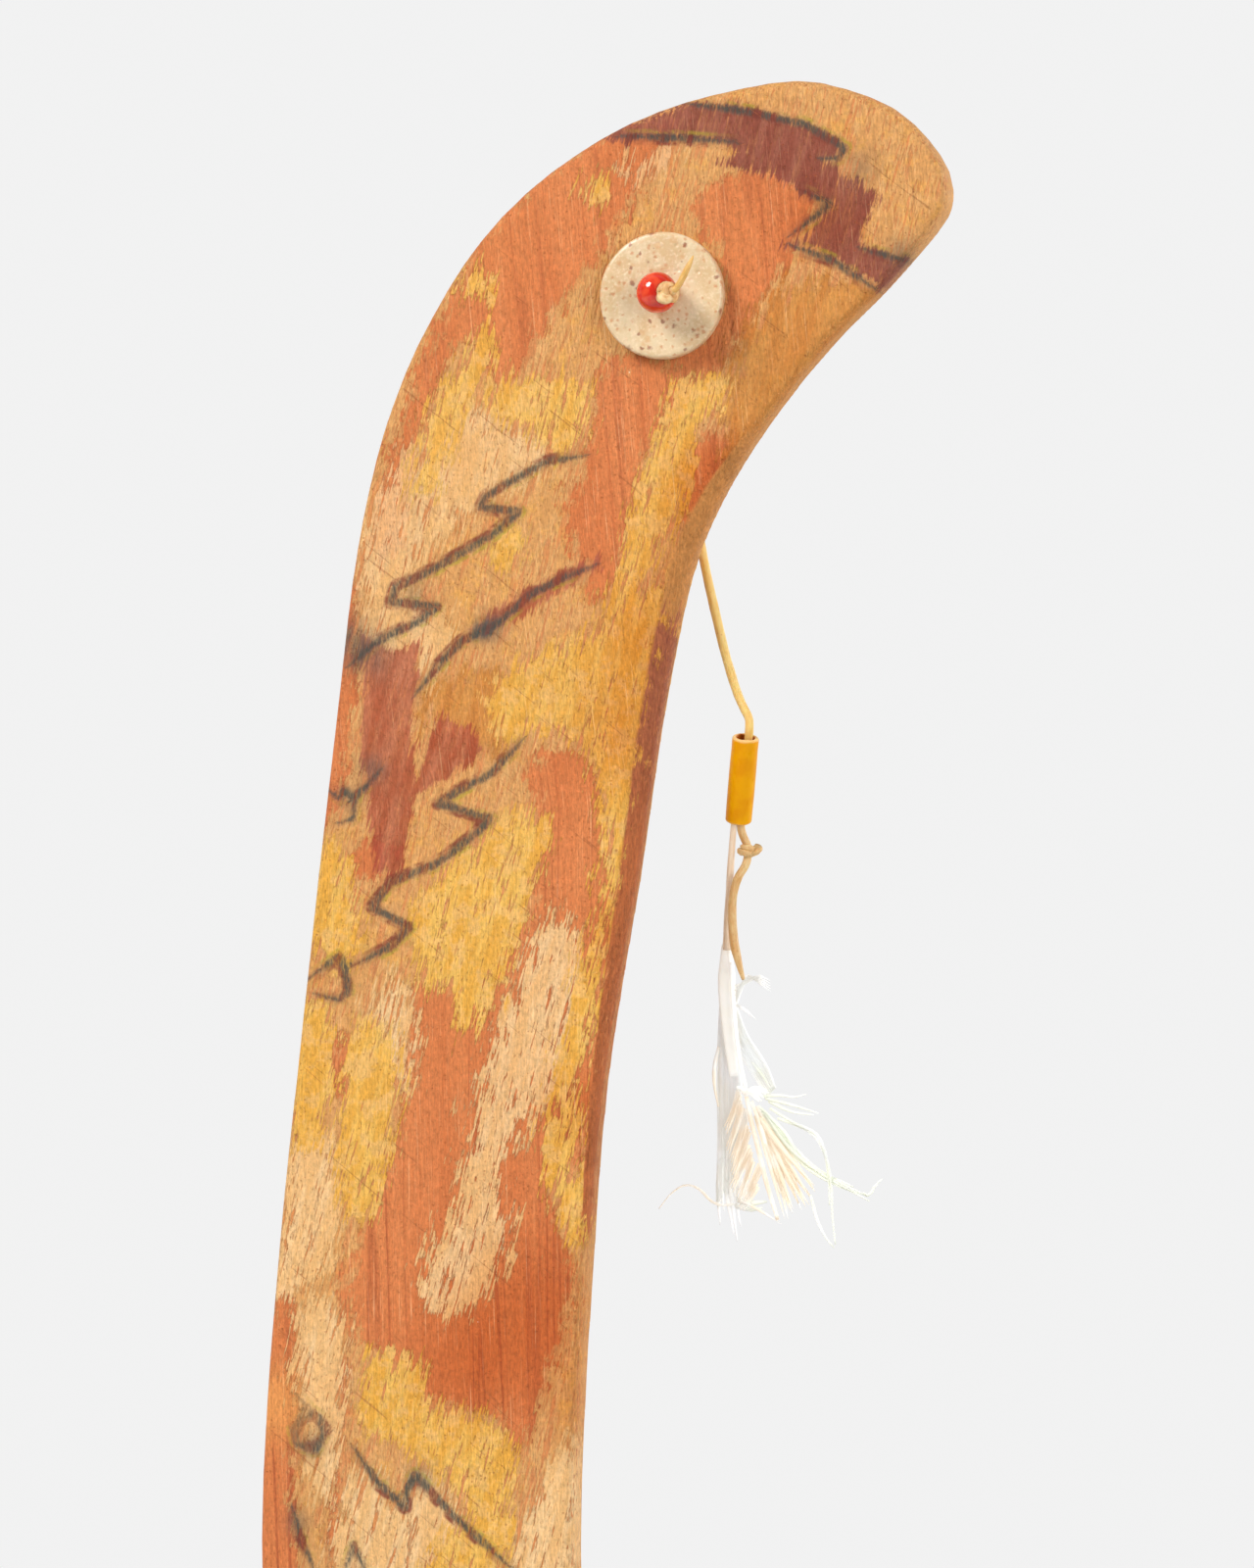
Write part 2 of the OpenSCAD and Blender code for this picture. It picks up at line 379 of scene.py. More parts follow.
def makeBrush():
    # the ragged edge of a painted patch: Depth is how far inside the patch a point lies, in mm
    tree, takes, gives = newGroup(
        "brushEdge",
        [("Depth", "Float", 0.0), ("Bristles", "Float", 0.5), ("Blotches", "Float", 0.5),
         ("Blotchy", "Float", 1.0), ("Ragged", "Float", 3.0), ("Soft", "Float", 0.4),
         ("Bare", "Float", 0.0)],
        [("Mask", "Float")])
    bristles = maths(tree, "SUBTRACT", takes.outputs["Bristles"], 0.5)
    blotches = maths(tree, "SUBTRACT", takes.outputs["Blotches"], 0.5)
    both = maths(tree, "MULTIPLY_ADD", blotches, takes.outputs["Blotchy"], bristles)
    moved = maths(tree, "MULTIPLY_ADD", both, takes.outputs["Ragged"], takes.outputs["Depth"])
    low = times(tree, takes.outputs["Soft"], -1)
    edge = soften(tree, moved, low, takes.outputs["Soft"])
    dry = maths(tree, "MULTIPLY_ADD", takes.outputs["Bristles"], -1, takes.outputs["Bare"])
    worn = soften(tree, dry, 0.0, -0.08)
    tree.links.new(times(tree, edge, worn), gives.inputs["Mask"])
    return tree


streaks = makeStreaks()
specks = makeSpecks()
brushEdge = makeBrush()


def startMaterial(name, **sockets):
    made = bpy.data.materials.new(name)
    made.use_nodes = True
    tree = made.node_tree
    shader = tree.nodes["Principled BSDF"]
    for socket, value in sockets.items():
        shader.inputs[socket.replace("_", " ")].default_value = value
    return made, tree, shader


def placeInMm(tree):
    # object coordinates counted in millimetres
    place = addNode(tree, "TexCoord").outputs["Object"]
    return addNode(tree, "VectorMath", {0: place, 3: 1 / mm}, operation="SCALE").outputs[0]


def addBump(tree, shader, height, strength, reach):
    made = addNode(tree, "Bump", {"Height": height, "Strength": strength, "Distance": reach})
    tree.links.new(made.outputs[0], shader.inputs["Normal"])


# outlines of the paint in mm on the face, as (across, up) from the middle of the stick's length
paint = {
    "bare": [               # wood left showing, stained red
        [(57, 291), (31, 281), (10, 259), (-5, 223), (-9, 203), (-3, 203), (4, 232), (10, 245),
         (16, 236), (22, 236), (28, 248), (38, 261), (44, 270), (53, 280)],
        [(57, 272), (70, 277), (83, 272), (74, 254), (66, 240), (58, 234), (54, 240), (63, 248),
         (65, 259), (60, 266)],
        [(38, 236), (47, 240), (58, 235), (50, 222), (46, 208), (43, 195), (38, 192), (35, 204)],
        [(58, 224), (65, 226), (67, 218), (61, 211), (58, 202), (55, 214)],
        [(24, 159), (36, 161), (41, 148), (44, 130), (38, 102), (33, 117), (27, 126), (22, 123),
         (25, 140)],
        [(1, 115), (12, 115), (20, 127), (29, 129), (36, 122), (39, 104), (36, 78), (29, 76),
         (33, 56), (30, 40), (22, 20), (17, 26), (3, 30), (-10, 41), (-14, 50), (-10, 68),
         (-4, 84), (-3, 102)],
        [(-18, 103), (-13, 103), (-12, 94), (-15, 89), (-18, 92)],
        [(-14, 141), (-6, 143), (-7, 136), (-14, 135)],
        [(-31, 50), (-25, 50), (-24, 31), (-26, 11), (-26, -8), (-36, -8), (-35, 30)],
        [(-16, 55), (-13, 53), (-14, 30), (-15, 10), (-17, -8), (-19, -8), (-17, 20)],
        [(-20, 205), (-13, 203), (-12, 190), (-13, 172), (-16, 150), (-22, 150), (-22, 180)],
        [(32, 214), (36, 214), (38, 200), (34, 198)],
    ],
    "cream": [
        [(2, 227), (11, 231), (25, 226), (29, 221), (20, 215), (11, 210), (3, 203), (-4, 193),
         (-12, 195), (-10, 207), (-4, 217)],
        [(-27, 80), (-19, 85), (-16, 75), (-17, 63), (-22, 55), (-30, 50), (-28, 65)],
        [(-24, 47), (-17, 47), (-16, 27), (-19, 10), (-22, 25), (-24, 31)],
        [(12, 70), (12, 82), (15, 96), (21, 112), (25, 124), (32, 127), (36, 116), (34, 102),
         (29, 92), (23, 87), (18, 78)],
        [(-8, 112), (-3, 113), (-1, 102), (-4, 92), (-10, 90), (-11, 100)],
        [(31, 19), (35, 21), (37, 3), (31, -6), (23, -6), (22, 5)],
        [(-11, 15), (-3, 6), (1, 15), (10, 7), (7, 1), (1, -7), (-16, -7), (-15, 7)],
        [(2, 51), (3, 58), (10, 68), (12, 79), (17, 76), (20, 66), (17, 59), (12, 51), (7, 49)],
        [(44, 279), (52, 282), (54, 281), (46, 276)],
        [(-9, 192), (4, 190), (6, 181), (-1, 176), (-10, 180)],
    ],
    "yellow": [
        [(0, 214), (3, 229), (10, 239), (15, 246), (16, 242), (11, 233), (6, 222), (3, 214)],
        [(15, 234), (28, 236), (36, 234), (35, 226), (31, 222), (24, 226)],
        [(57, 235), (64, 234), (58, 225), (56, 214), (50, 202), (46, 194), (44, 183), (40, 175),
         (36, 177), (40, 186), (46, 208), (48, 218), (53, 228)],
        [(36, 183), (48, 194), (55, 192), (53, 175), (49, 155), (46, 139), (41, 123), (39, 135),
         (40, 151), (36, 162), (28, 167), (20, 165), (17, 172), (25, 180)],
        [(16, 145), (24, 149), (27, 144), (24, 135), (17, 128), (13, 118), (7, 114), (2, 115),
         (1, 127), (6, 137)],
        [(37, 123), (40, 125), (38, 108), (34, 96), (35, 84), (33, 76), (39, 75), (38, 66),
         (34, 63), (30, 70), (28, 78), (30, 92), (33, 110)],
        [(-9, 38), (1, 36), (3, 29), (16, 26), (20, 20), (19, 11), (14, 4), (10, 12), (3, 18),
         (-4, 22), (-10, 25)],
        [(3, -7), (7, 1), (16, 8), (20, 5), (14, -7)],
        [(-21, 141), (-15, 139), (-13, 129), (-15, 117), (-21, 123), (-24, 128)],
        [(36, 276), (39, 277), (40, 275), (37, 273)],
        [(16, 203), (19, 206), (22, 204), (20, 200)],
        [(10, 257), (14, 258), (15, 254), (12, 254)],
        [(-14, 99), (-9, 107), (-4, 99), (-6, 83), (-9, 69), (-14, 69), (-15, 83)],
        [(-26, 108), (-20, 110), (-18, 96), (-20, 84), (-26, 84)],
        [(10, 131), (20, 139), (24, 131), (18, 118), (12, 106), (8, 112)],
    ],
    "amber": [
        [(69, 246), (77, 254), (90, 255), (97, 252), (86, 238), (75, 225), (67, 217), (64, 225),
         (65, 237)],
        [(45, 186), (53, 191), (55, 184), (52, 171), (47, 159), (44, 171)],
        [(2, 175), (16, 178), (26, 170), (14, 160), (4, 165)],
    ],
    "maroon": [
        [(38, 285), (55, 291), (66, 291), (78, 287), (87, 283), (90, 280), (85, 279), (92, 274),
         (96, 271), (93, 267), (92, 263), (93, 261), (104, 258), (97, 252), (90, 257),
         (84, 261), (77, 262), (81, 264), (86, 270), (79, 273), (75, 276), (62, 279),
         (69, 281), (64, 283), (55, 284), (42, 284)],
        [(-12, 186), (-3, 182), (1, 184), (1, 176), (-1, 166), (0, 156), (-3, 137), (-8, 137),
         (-10, 150), (-12, 164), (-11, 175)],
        [(5, 169), (11, 167), (15, 162), (10, 158), (5, 155), (0, 153), (2, 161)],
        [(38, 201), (30, 197.6), (22, 193.4), (15, 189), (16, 185), (24, 190), (31, 194), (39, 198)],
        [(34, 21), (38, 21), (38, 8), (34, 8)],
    ],
}

walls = {                   # colours that keep to the narrow side, inside these outlines
    "wallTan": [[(48, 226), (60, 236), (72, 224), (72, 187), (60, 180), (48, 190)]],
    "wallRust": [[(48, 190), (60, 184), (72, 187), (60, 120), (46, 76), (38, 62), (30, 76),
                  (38, 120)]],
}

sootSpots = [               # across, up, reach and strength of rubbed charcoal
    (-14, 184, 5, 0.9), (-9, 181, 4, 0.6), (16, 186.5, 2.6, 1.2), (13.6, 186, 2, 0.9),
    (-9, 158, 3, 0.8), (-14, 152, 3, 0.5), (0, 193, 3, 0.5), (-22, 20, 3, 0.7), (1, 14, 3, 0.5),
    (92, 277, 4, 0.5), (100, 260, 3, 0.7), (-25, 4, 3, 0.6),
]

paintLines = [              # drawn zigzags, one list of points for each unbroken line
    [(36, 221), (28, 220), (20, 216), (15, 213), (14, 211), (22, 210), (16, 205), (3, 198),
     (-4, 195), (-5, 192), (5, 191), (1, 188), (-8, 184), (-14, 179)],
    [(38, 199), (30, 196), (24, 193), (17, 187), (10, 184), (5, 179), (0, 173)],
    [(-7, 158), (-13, 152), (-15, 154), (-16, 152), (-19, 154)],
    [(-13, 152), (-13, 148), (-16, 147)],
    [(23, 164), (16, 157), (10, 154), (5, 151), (16, 148), (13, 145), (5, 139), (-5, 135),
     (-9, 130), (-1, 126), (-5, 122), (-13, 118)],
    [(-23, 115), (-16, 120), (-15, 118), (-14, 113), (-16, 111), (-21, 112)],
    [(57, 291), (69, 289), (81, 286), (89, 281), (88, 279), (84, 279)],
    [(43, 285), (57, 284), (67, 283)],
    [(80, 273), (86, 270), (78, 264)],
    [(78, 262), (86, 259), (95, 253)],
    [(92, 261), (103, 258)],
    [(-25, 30), (-22, 27), (-19, 23), (-21, 19), (-25, 20), (-26, 23), (-24, 26), (-21, 26.5),
     (-18, 24)],
    [(-13, 20), (-8, 13), (-2, 8), (-2, 11), (0, 15), (8, 7), (20, -3)],
    [(-26, 7), (-24, 0), (-21, -6)],
    [(-15, -6), (-13, 0), (-10, -6)],
]

toneSpots = [               # across, up, reach, and how much lighter (or, below 0, deeper)
    (47, 186, 10, -0.7), (85, 267, 9, -0.8), (43, 166, 9, -0.3),
    (61, 215, 9, -0.9), (57, 201, 12, -0.6), (46, 165, 16, -0.6), (45, 125, 10, -0.9),
    (38, 90, 9, -0.8), (26, 48, 20, -0.7), (10, 36, 14, -0.4), (20, 92, 14, -0.2),
    (36, 28, 9, -0.35), (-30, 28, 9, 0.9), (-22, 62, 14, 0.3), (8, 222, 12, 0.3),
    (70, 262, 16, 0.2), (14, 262, 14, 0.2), (86, 240, 12, -0.2),
]

blade = {
    "voxel": 1.05 * mm,
    "smoothing": 4,
    "carving": 0.22 * mm,       # how far the carved surface wanders
    "boreRadius": 1.2 * mm,
    "boreLength": 20 * mm,
    "plugRadius": 1.5 * mm,
    "plugLength": 9.6 * mm,
    "foldLine": -6,             # below this height the paint repeats upside down, loosely
    "plainBand": (3, 75),       # no line is drawn this far below the fold
    "lineReach": 3,             # how far from a line its dust goes
    "lineFade": 7,              # length over which a line's end thins out
    "sharpLayers": ("maroon",),
    "backTop": 278,             # the back: where the pattern starts, and how it is squeezed
    "backSqueeze": 0.86,
    "backLean": 0.28,
    "backHead": 215,            # above this height the back's pattern leans with the head
}


def roundOff(corners):
    # a closed outline with its corners turned into curves
    fine = []
    count = len(corners)
    for i in range(count):
        a, b, c, d = [np.array(corners[(i + k) % count], float) for k in (-1, 0, 1, 2)]
        for t in (0, 0.25, 0.5, 0.75):
            fine.append(0.5 * (2 * b + (c - a) * t + (2 * a - 5 * b + 4 * c - d) * t * t
                               + (3 * b - a - 3 * c + d) * t ** 3))
    return fine


def depthInside(places, corners):
    # how far each place lies inside a closed outline, negative outside, up to the reach
    reach = paintReach
    corners = np.array(corners, float)
    depth = np.full(len(places), -reach)
    low, high = corners.min(0) - reach, corners.max(0) + reach
    close = np.all((places > low) & (places < high), axis=1)
    near = places[close]
    gap = np.full(len(near), 1e9)
    inside = np.zeros(len(near), bool)
    for a, b in zip(corners, np.roll(corners, -1, axis=0)):
        side = b - a
        t = np.clip(((near - a) @ side) / max(side @ side, 1e-9), 0, 1)
        gap = np.minimum(gap, np.linalg.norm(near - a - t[:, None] * side, axis=1))
        if a[1] != b[1]:
            crosses = (near[:, 1] < a[1]) != (near[:, 1] < b[1])
            inside ^= crosses & (near[:, 0] < a[0] + (near[:, 1] - a[1]) * side[0] / side[1])
    depth[close] = np.clip(np.where(inside, gap, -gap), -reach, reach)
    return depth


def sideOfLines(places, lines):
    # signed and plain distance to the nearest drawn line, and how far it is from that line's ends
    best = np.full(len(places), 99.0)
    lean = np.zeros(len(places))
    inward = np.zeros(len(places))
    for line in lines:
        corners = np.array(line, float)
        spans = np.linalg.norm(np.diff(corners, axis=0), axis=1)
        for i, (a, b) in enumerate(zip(corners, corners[1:])):
            side = b - a
            t = np.clip(((places - a) @ side) / (side @ side), 0, 1)
            gap = np.linalg.norm(places - a - t[:, None] * side, axis=1)
            cross = (side[0] * (places[:, 1] - a[1]) - side[1] * (places[:, 0] - a[0]))
            cross /= math.hypot(*side)
            same = np.abs(gap - best) < 1e-4
            take = (gap < best - 1e-4) | (same & (np.abs(cross) > np.abs(lean)))
            run = spans[:i].sum() + t * spans[i]
            best = np.where(take, gap, best)
            lean = np.where(take, cross, lean)
            inward = np.where(take, np.minimum(run, spans.sum() - run), inward)
    return np.where(lean < 0, -best, best), best, inward


def softSpots(places, spots):
    # the sum of round soft-edged spots
    total = np.zeros(len(places))
    for across, up, reach, strength in spots:
        gap = np.hypot(places[:, 0] - across, places[:, 1] - up)
        total += strength * np.exp(-(gap / reach) ** 2)
    return total


def paintPlaces(co):
    # where on the painted pattern each point of the stick lies; the far end and the back reuse it
    x, y, z = (co / mm).T
    fold = blade["foldLine"]
    away = np.maximum(0, fold - z)
    loose = np.minimum(1, away / 30)
    u = x + loose * (4 * np.sin(z / 23) + 2)
    v = np.where(z < fold, 2 * fold - z + loose * 7 * np.sin(x / 19 + z / 41), z)
    head = blade["backHead"]
    upBack = blade["backTop"] - np.abs(z)
    shift = np.where(upBack > head, (upBack - head) * 0.55, 0)
    shift = shift - np.where(z > head, (z - head) * 0.7, 0)
    lean = np.clip(np.abs(z) - 60, 0, 150) * blade["backLean"]
    uBack = 3 - x * blade["backSqueeze"] + lean + shift
    back = y > 2.5
    return np.stack([np.where(back, uBack, u), np.where(back, upBack, v)], axis=1), back


def bladeSkin():
    # the stick's own shape with an even skin; a plug fills the bore until it is cut again
    bm = bmesh.new()
    bm.from_mesh(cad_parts["blade"].data)
    bmesh.ops.remove_doubles(bm, verts=bm.verts, dist=1e-6)
    bmesh.ops.create_cone(bm, cap_ends=True, segments=16, radius1=blade["plugRadius"],
                          radius2=blade["plugRadius"], depth=blade["plugLength"], matrix=boreWay)
    exact = newPiece("bladeExact", bm.copy())
    made = newPiece("bladePainted", bm)
    voxelSkin(made, blade["voxel"], blade["smoothing"])
    wrap = made.modifiers.new("backToSize", "SHRINKWRAP")
    wrap.target = exact
    wrap.wrap_method = "NEAREST_SURFACEPOINT"
    applyModifiers(made)
    bpy.data.objects.remove(exact)
    return made


def carvedBy(place):
    # long shallow facets with shorter tool marks over them
    slow = noise.noise(Vector((place.x / 11, place.y / 9, place.z / 34)))
    quick = noise.noise(Vector((place.x / 3.1, place.y / 4, place.z / 17 + 40)))
    return (slow * 0.75 + quick * 0.25) * blade["carving"]


def readVectors(mesh, name):
    flat = np.zeros(len(mesh.vertices) * 3)
    mesh.vertices.foreach_get(name, flat)
    return flat.reshape(-1, 3)


def deepest(places, patches):
    return np.max([depthInside(places, patch) for patch in patches], axis=0)


def markPaint(mesh):
    # what the paint needs to know at each point of the stick, as named values on the mesh
    co = readVectors(mesh, "co")
    places, back = paintPlaces(co)
    marks = {}
    for layer, patches in paint.items():
        sharp = layer in blade["sharpLayers"]
        marks[layer] = deepest(places, patches if sharp else [roundOff(p) for p in patches])
    side, gap, inward = sideOfLines(places, paintLines)
    x, _, z = (co / mm).T
    below = blade["foldLine"] - z
    start, end = blade["plainBand"]
    plain = np.clip((below - start) / 9, 0, 1) * np.clip((end - below) / 15, 0, 1) * ~back
    marks["lineSide"] = side
    marks["lineNear"] = blade["lineReach"] - gap - 4 * plain
    marks["lineFade"] = np.clip(inward / blade["lineFade"], 0, 1)
    marks["tone"] = softSpots(places, toneSpots)
    marks["soot"] = softSpots(places, sootSpots) * (1 - plain)
    for layer, patches in walls.items():
        marks[layer] = np.where(back, -paintReach, deepest(places, patches))
    marks["across"] = x + np.clip(z - 150, 0, 200) * 0.12 + 3 * np.sin(z / 90)
    marks["edge"] = 1 - np.abs(readVectors(mesh, "normal")[:, 1])
    for name, values in marks.items():
        made = mesh.attributes.new(name, "FLOAT", "POINT")
        made.data.foreach_set("value", np.asarray(values, np.float32))


def makeBlade(material):
    made = bladeSkin()
    pushOut(made, carvedBy)
    cutHole(made, blade["boreRadius"], blade["boreLength"], 24)
    mesh = made.data
    markPaint(mesh)
    mesh.polygons.foreach_set("use_smooth", [True] * len(mesh.polygons))
    mesh.materials.clear()
    mesh.materials.append(material)
    return join(made, "stick", "painted_wood", "blade")


paints = {                  # the two tints that each paint varies between
    "tan": ((224, 171, 113), (214, 156, 98)),
    "cream": ((240, 201, 150), (233, 185, 127)),
    "yellow": ((236, 188, 102), (227, 168, 78)),
    "amber": ((206, 142, 76), (196, 124, 62)),
    "maroon": ((156, 93, 77), (141, 76, 62)),
    "redder": ((186, 104, 82), (162, 72, 56)),
}


def woodNoises(tree):
    # the noises that grain, brush marks and wear are all made from
    place = placeInMm(tree)
    parts = addNode(tree, "SeparateXYZ", {0: place}).outputs
    grain = addNode(tree, "CombineXYZ", {
        0: attribute(tree, "across"), 1: parts[1], 2: parts[2]}).outputs[0]
    brush = turned(tree, place, -15)
    sweeps = useGroup(tree, streaks, Vector=brush, Across=0.5, Along=0.07, Detail=4.0)["Raw"]
    bristles = useGroup(tree, streaks, Vector=brush, Across=2.3, Along=0.22, Detail=6.0)["Raw"]
    return {
        "place": place,
        "up": parts[2],
        "grain": grain,
        "sweeps": sweeps,
        "bristles": bristles,
        "mottle": soften(tree, sweeps, 0.36, 0.62),
        "marks": maths(tree, "MULTIPLY_ADD", maths(tree, "SUBTRACT", sweeps, 0.5), 0.7, bristles),
        "blotches": clouds(tree, place, 0.24, 6.0, Roughness=0.66),
        "fine": clouds(tree, place, 1.5, 4.0, Roughness=0.65),
        "fibres": useGroup(tree, streaks, Vector=grain, Across=2.6, Along=0.10, Detail=5.0),
        "dashes": useGroup(tree, streaks, Vector=grain, Across=2.4, Along=0.55, Detail=5.0)["Raw"],
        "hairs": useGroup(tree, streaks, Vector=grain, Across=4.2, Along=0.05, Detail=3.0)["Raw"],
    }


def stainedWood(tree, noises):
    # slow tone, growth lines and fine fibres
    grain, fibres = noises["grain"], noises["fibres"]
    slow = useGroup(tree, streaks, Vector=grain, Across=0.10, Along=0.010, Detail=2.0)["Mask"]
    growth = useGroup(tree, streaks, Vector=grain, Across=0.12, Along=0.003, Detail=1.2)["Raw"]
    narrow = useGroup(tree, streaks, Vector=grain, Across=0.62, Along=0.006, Detail=3.0)["Raw"]
    lines = 0.0
    for pattern, level, width, strength in (
            (growth, 0.50, 0.020, 1.0), (growth, 0.41, 0.014, 0.8), (growth, 0.58, 0.014, 0.7),
            (narrow, 0.50, 0.018, 0.12)):
        gap = maths(tree, "ABSOLUTE", maths(tree, "SUBTRACT", pattern, level))
        line = times(tree, soften(tree, gap, width, 0.003), strength)
        lines = maths(tree, "MAXIMUM", lines, line)
    lines = times(tree, lines, soften(tree, fibres["Raw"], 0.35, 0.6, 0.35, 1.0))
    lines = times(tree, lines, soften(tree, noises["up"], 90, 160, 0.72, 0.45))
    wood = blendColours(tree, slow, colour(216, 132, 84), colour(203, 114, 70))
    wood = dab(tree, wood, fibres["Mask"], 0.28, colour(226, 150, 100))
    return blendColours(tree, lines, wood, colour(162, 80, 54))


def mixPaints(tree, noises):
    tints = {name: blendColours(tree, noises["mottle"], colour(*first), colour(*second))
             for name, (first, second) in paints.items()}
    for name, low, high, amount, other in (
            ("tan", 0.48, 0.66, 0.7, (228, 168, 92)), ("yellow", 0.50, 0.60, 0.6, (234, 186, 120))):
        blotched = soften(tree, noises["blotches"], low, high, 0.0, amount)
        tints[name] = blendColours(tree, blotched, tints[name], colour(*other))
    lower = soften(tree, noises["up"], 214, 196)
    tints["maroon"] = blendColours(tree, lower, tints["maroon"], tints["redder"])
    return tints


def laidOn(tree, noises, depth, ragged, soft, bareness=0.0, blotchy=1.0):
    return useGroup(tree, brushEdge, Depth=depth, Bristles=noises["marks"],
                    Blotches=noises["blotches"], Blotchy=blotchy, Ragged=ragged, Soft=soft,
                    Bare=bareness)["Mask"]


def paintOver(tree, noises, wood):
    # a thin tan coat worn through in streaks, then the patches; gives the colour and the relief
    tints = mixPaints(tree, noises)
    marks, up = noises["marks"], noises["up"]
    coat = maths(tree, "SUBTRACT", 1.0, laidOn(tree, noises, attribute(tree, "bare"), 13.0, 0.5))
    thin = times(tree, coat, soften(tree, marks, 0.34, 0.50, 0.35, 1.0))
    skin = blendColours(tree, thin, wood, tints["tan"])
    relief = times(tree, thin, 0.3)
    for name, wider, ragged, blotchy, soft, bareness, body, calm in (
            ("amber", 0.0, 16.0, 1.0, 2.0, 0.0, 0.8, 1.0),
            ("cream", 0.8, 22.0, 0.6, 0.5, 0.32, 0.9, 0.72),
            ("yellow", 0.9, 17.0, 0.6, 0.4, 0.31, 0.96, 0.9)):
        depth = maths(tree, "ADD", attribute(tree, name), wider)
        body = soften(tree, up, 130, 160, body, body * calm)
        mask = times(tree, laidOn(tree, noises, depth, ragged, soft, bareness, blotchy), body)
        skin = blendColours(tree, mask, skin, tints[name])
        relief = maths(tree, "MAXIMUM", relief, times(tree, mask, 0.6))
    maroon = laidOn(tree, noises, attribute(tree, "maroon"), 7.0, 0.5, 0.22, 0.5)
    worn = soften(tree, marks, 0.26, 0.50, 0.62, 0.98)
    worn = times(tree, worn, soften(tree, up, 196, 214, 0.84, 1.0))
    return blendColours(tree, times(tree, maroon, worn), skin, tints["maroon"]), relief


def drawLines(tree, noises, skin):
    # charcoal zigzags and soot, with an olive fringe below each line and a maroon one above
    near, fade = attribute(tree, "lineNear"), attribute(tree, "lineFade")
    sweeps, dashes = noises["sweeps"], noises["dashes"]
    shaky = maths(tree, "MULTIPLY_ADD", noises["fine"], 1.1, -0.55)
    side = maths(tree, "ADD", attribute(tree, "lineSide"), shaky)
    patchy = soften(tree, noises["blotches"], 0.42, 0.60)
    for shift, width, reach, strength, tint in (
            (-1.2, 0.7, 0.9, 0.6, (176, 162, 60)), (1.1, 1.0, 1.0, 0.9, (140, 70, 56))):
        band = maths(tree, "ABSOLUTE", maths(tree, "ADD", side, shift))
        mask = times(tree, soften(tree, band, width, 0.1), soften(tree, near, reach, 1.7))
        mask = times(tree, mask, times(tree, patchy, strength))
        skin = blendColours(tree, times(tree, mask, fade), skin, colour(*tint))
    dust = times(tree, soften(tree, near, 0.6, 3.0), soften(tree, dashes, 0.40, 0.62))
    skin = dab(tree, skin, dust, 0.38, colour(112, 88, 72))
    soot = times(tree, attribute(tree, "soot"), soften(tree, noises["marks"], 0.3, 0.6, 0.45, 0.9))
    skin = blendColours(tree, soot, skin, colour(98, 86, 78))
    spread = maths(tree, "MULTIPLY_ADD", sweeps, 1.3, 0.10)
    spread = times(tree, spread, maths(tree, "MULTIPLY_ADD", fade, 0.75, 0.25))
    past = maths(tree, "SUBTRACT", maths(tree, "ABSOLUTE", side), spread)
    stroke = times(tree, soften(tree, past, 0.55, -0.45), soften(tree, near, 1.5, 2.2))
    stroke = times(tree, stroke, soften(tree, dashes, 0.34, 0.58, 0.5, 1.0))
    inked = blendColours(tree, soften(tree, sweeps, 0.50, 0.62), colour(72, 74, 68),
                         colour(122, 62, 52))
    return dab(tree, skin, stroke, 0.9, inked)


def wearDown(tree, noises, skin):
    # deeper and lighter regions, scratches, rubbed hairs, pores and chips
    place, tone = noises["place"], attribute(tree, "tone")
    skin = blendColours(tree, soften(tree, tone, 0.0, -1.0, 0.0, 0.85), skin,
                        colour(234, 202, 182), how="MULTIPLY")
    skin = blendColours(tree, soften(tree, tone, 0.0, 1.0, 0.0, 0.5), skin, colour(244, 176, 104))
    scratch = useGroup(tree, streaks, Vector=turned(tree, place, 52), Across=1.7, Along=0.045,
                       Detail=3.0)["Raw"]
    scratched = soften(tree, scratch, 0.665, 0.72, 0.0, 0.45)
    skin = blendColours(tree, scratched, skin, colour(176, 104, 68))
    rubbed = times(tree, soften(tree, noises["hairs"], 0.60, 0.72),
                   soften(tree, attribute(tree, "lineNear"), 3.0, -2.0))
    skin = dab(tree, skin, rubbed, 0.35, colour(244, 208, 160))
    pores = useGroup(tree, specks, Vector=place, Scale=1.1, Size=0.36, Amount=0.4)["Mask"]
    skin = dab(tree, skin, pores, 0.4, colour(180, 98, 56))
    chips = useGroup(tree, specks, Vector=place, Scale=0.16, Size=0.10, Amount=0.25)["Mask"]
    return blendColours(tree, chips, skin, colour(246, 232, 210)), pores, scratched


def narrowSide(tree, noises, skin):
    # the narrow side's own colours, made pale where it stands square: partly rubbed wear, partly a
    # painted highlight along the edge
    edge, fibres = attribute(tree, "edge"), noises["fibres"]
    onWall = soften(tree, edge, 0.07, 0.15)
    tanWall = blendColours(tree, fibres["Mask"], colour(196, 130, 74), colour(208, 146, 88))
    rustWall = blendColours(tree, soften(tree, noises["up"], 130, 175), colour(184, 102, 62),
                            colour(150, 82, 62))
    rustWall = dab(tree, rustWall, fibres["Mask"], 0.5, colour(206, 130, 84))
    for name, tint in (("wallTan", tanWall), ("wallRust", rustWall)):
        mask = laidOn(tree, noises, attribute(tree, name), 22.0, 0.6)
        skin = blendColours(tree, times(tree, mask, onWall), skin, tint)
    # painted highlight with rubbed wear: a pale line where the side stands square to the face
    paleWearAndHighlight = times(tree, soften(tree, edge, 0.85, 0.99),
                 soften(tree, fibres["Raw"], 0.38, 0.62, 0.10, 0.5))
    return blendColours(tree, paleWearAndHighlight, skin, colour(226, 172, 114))


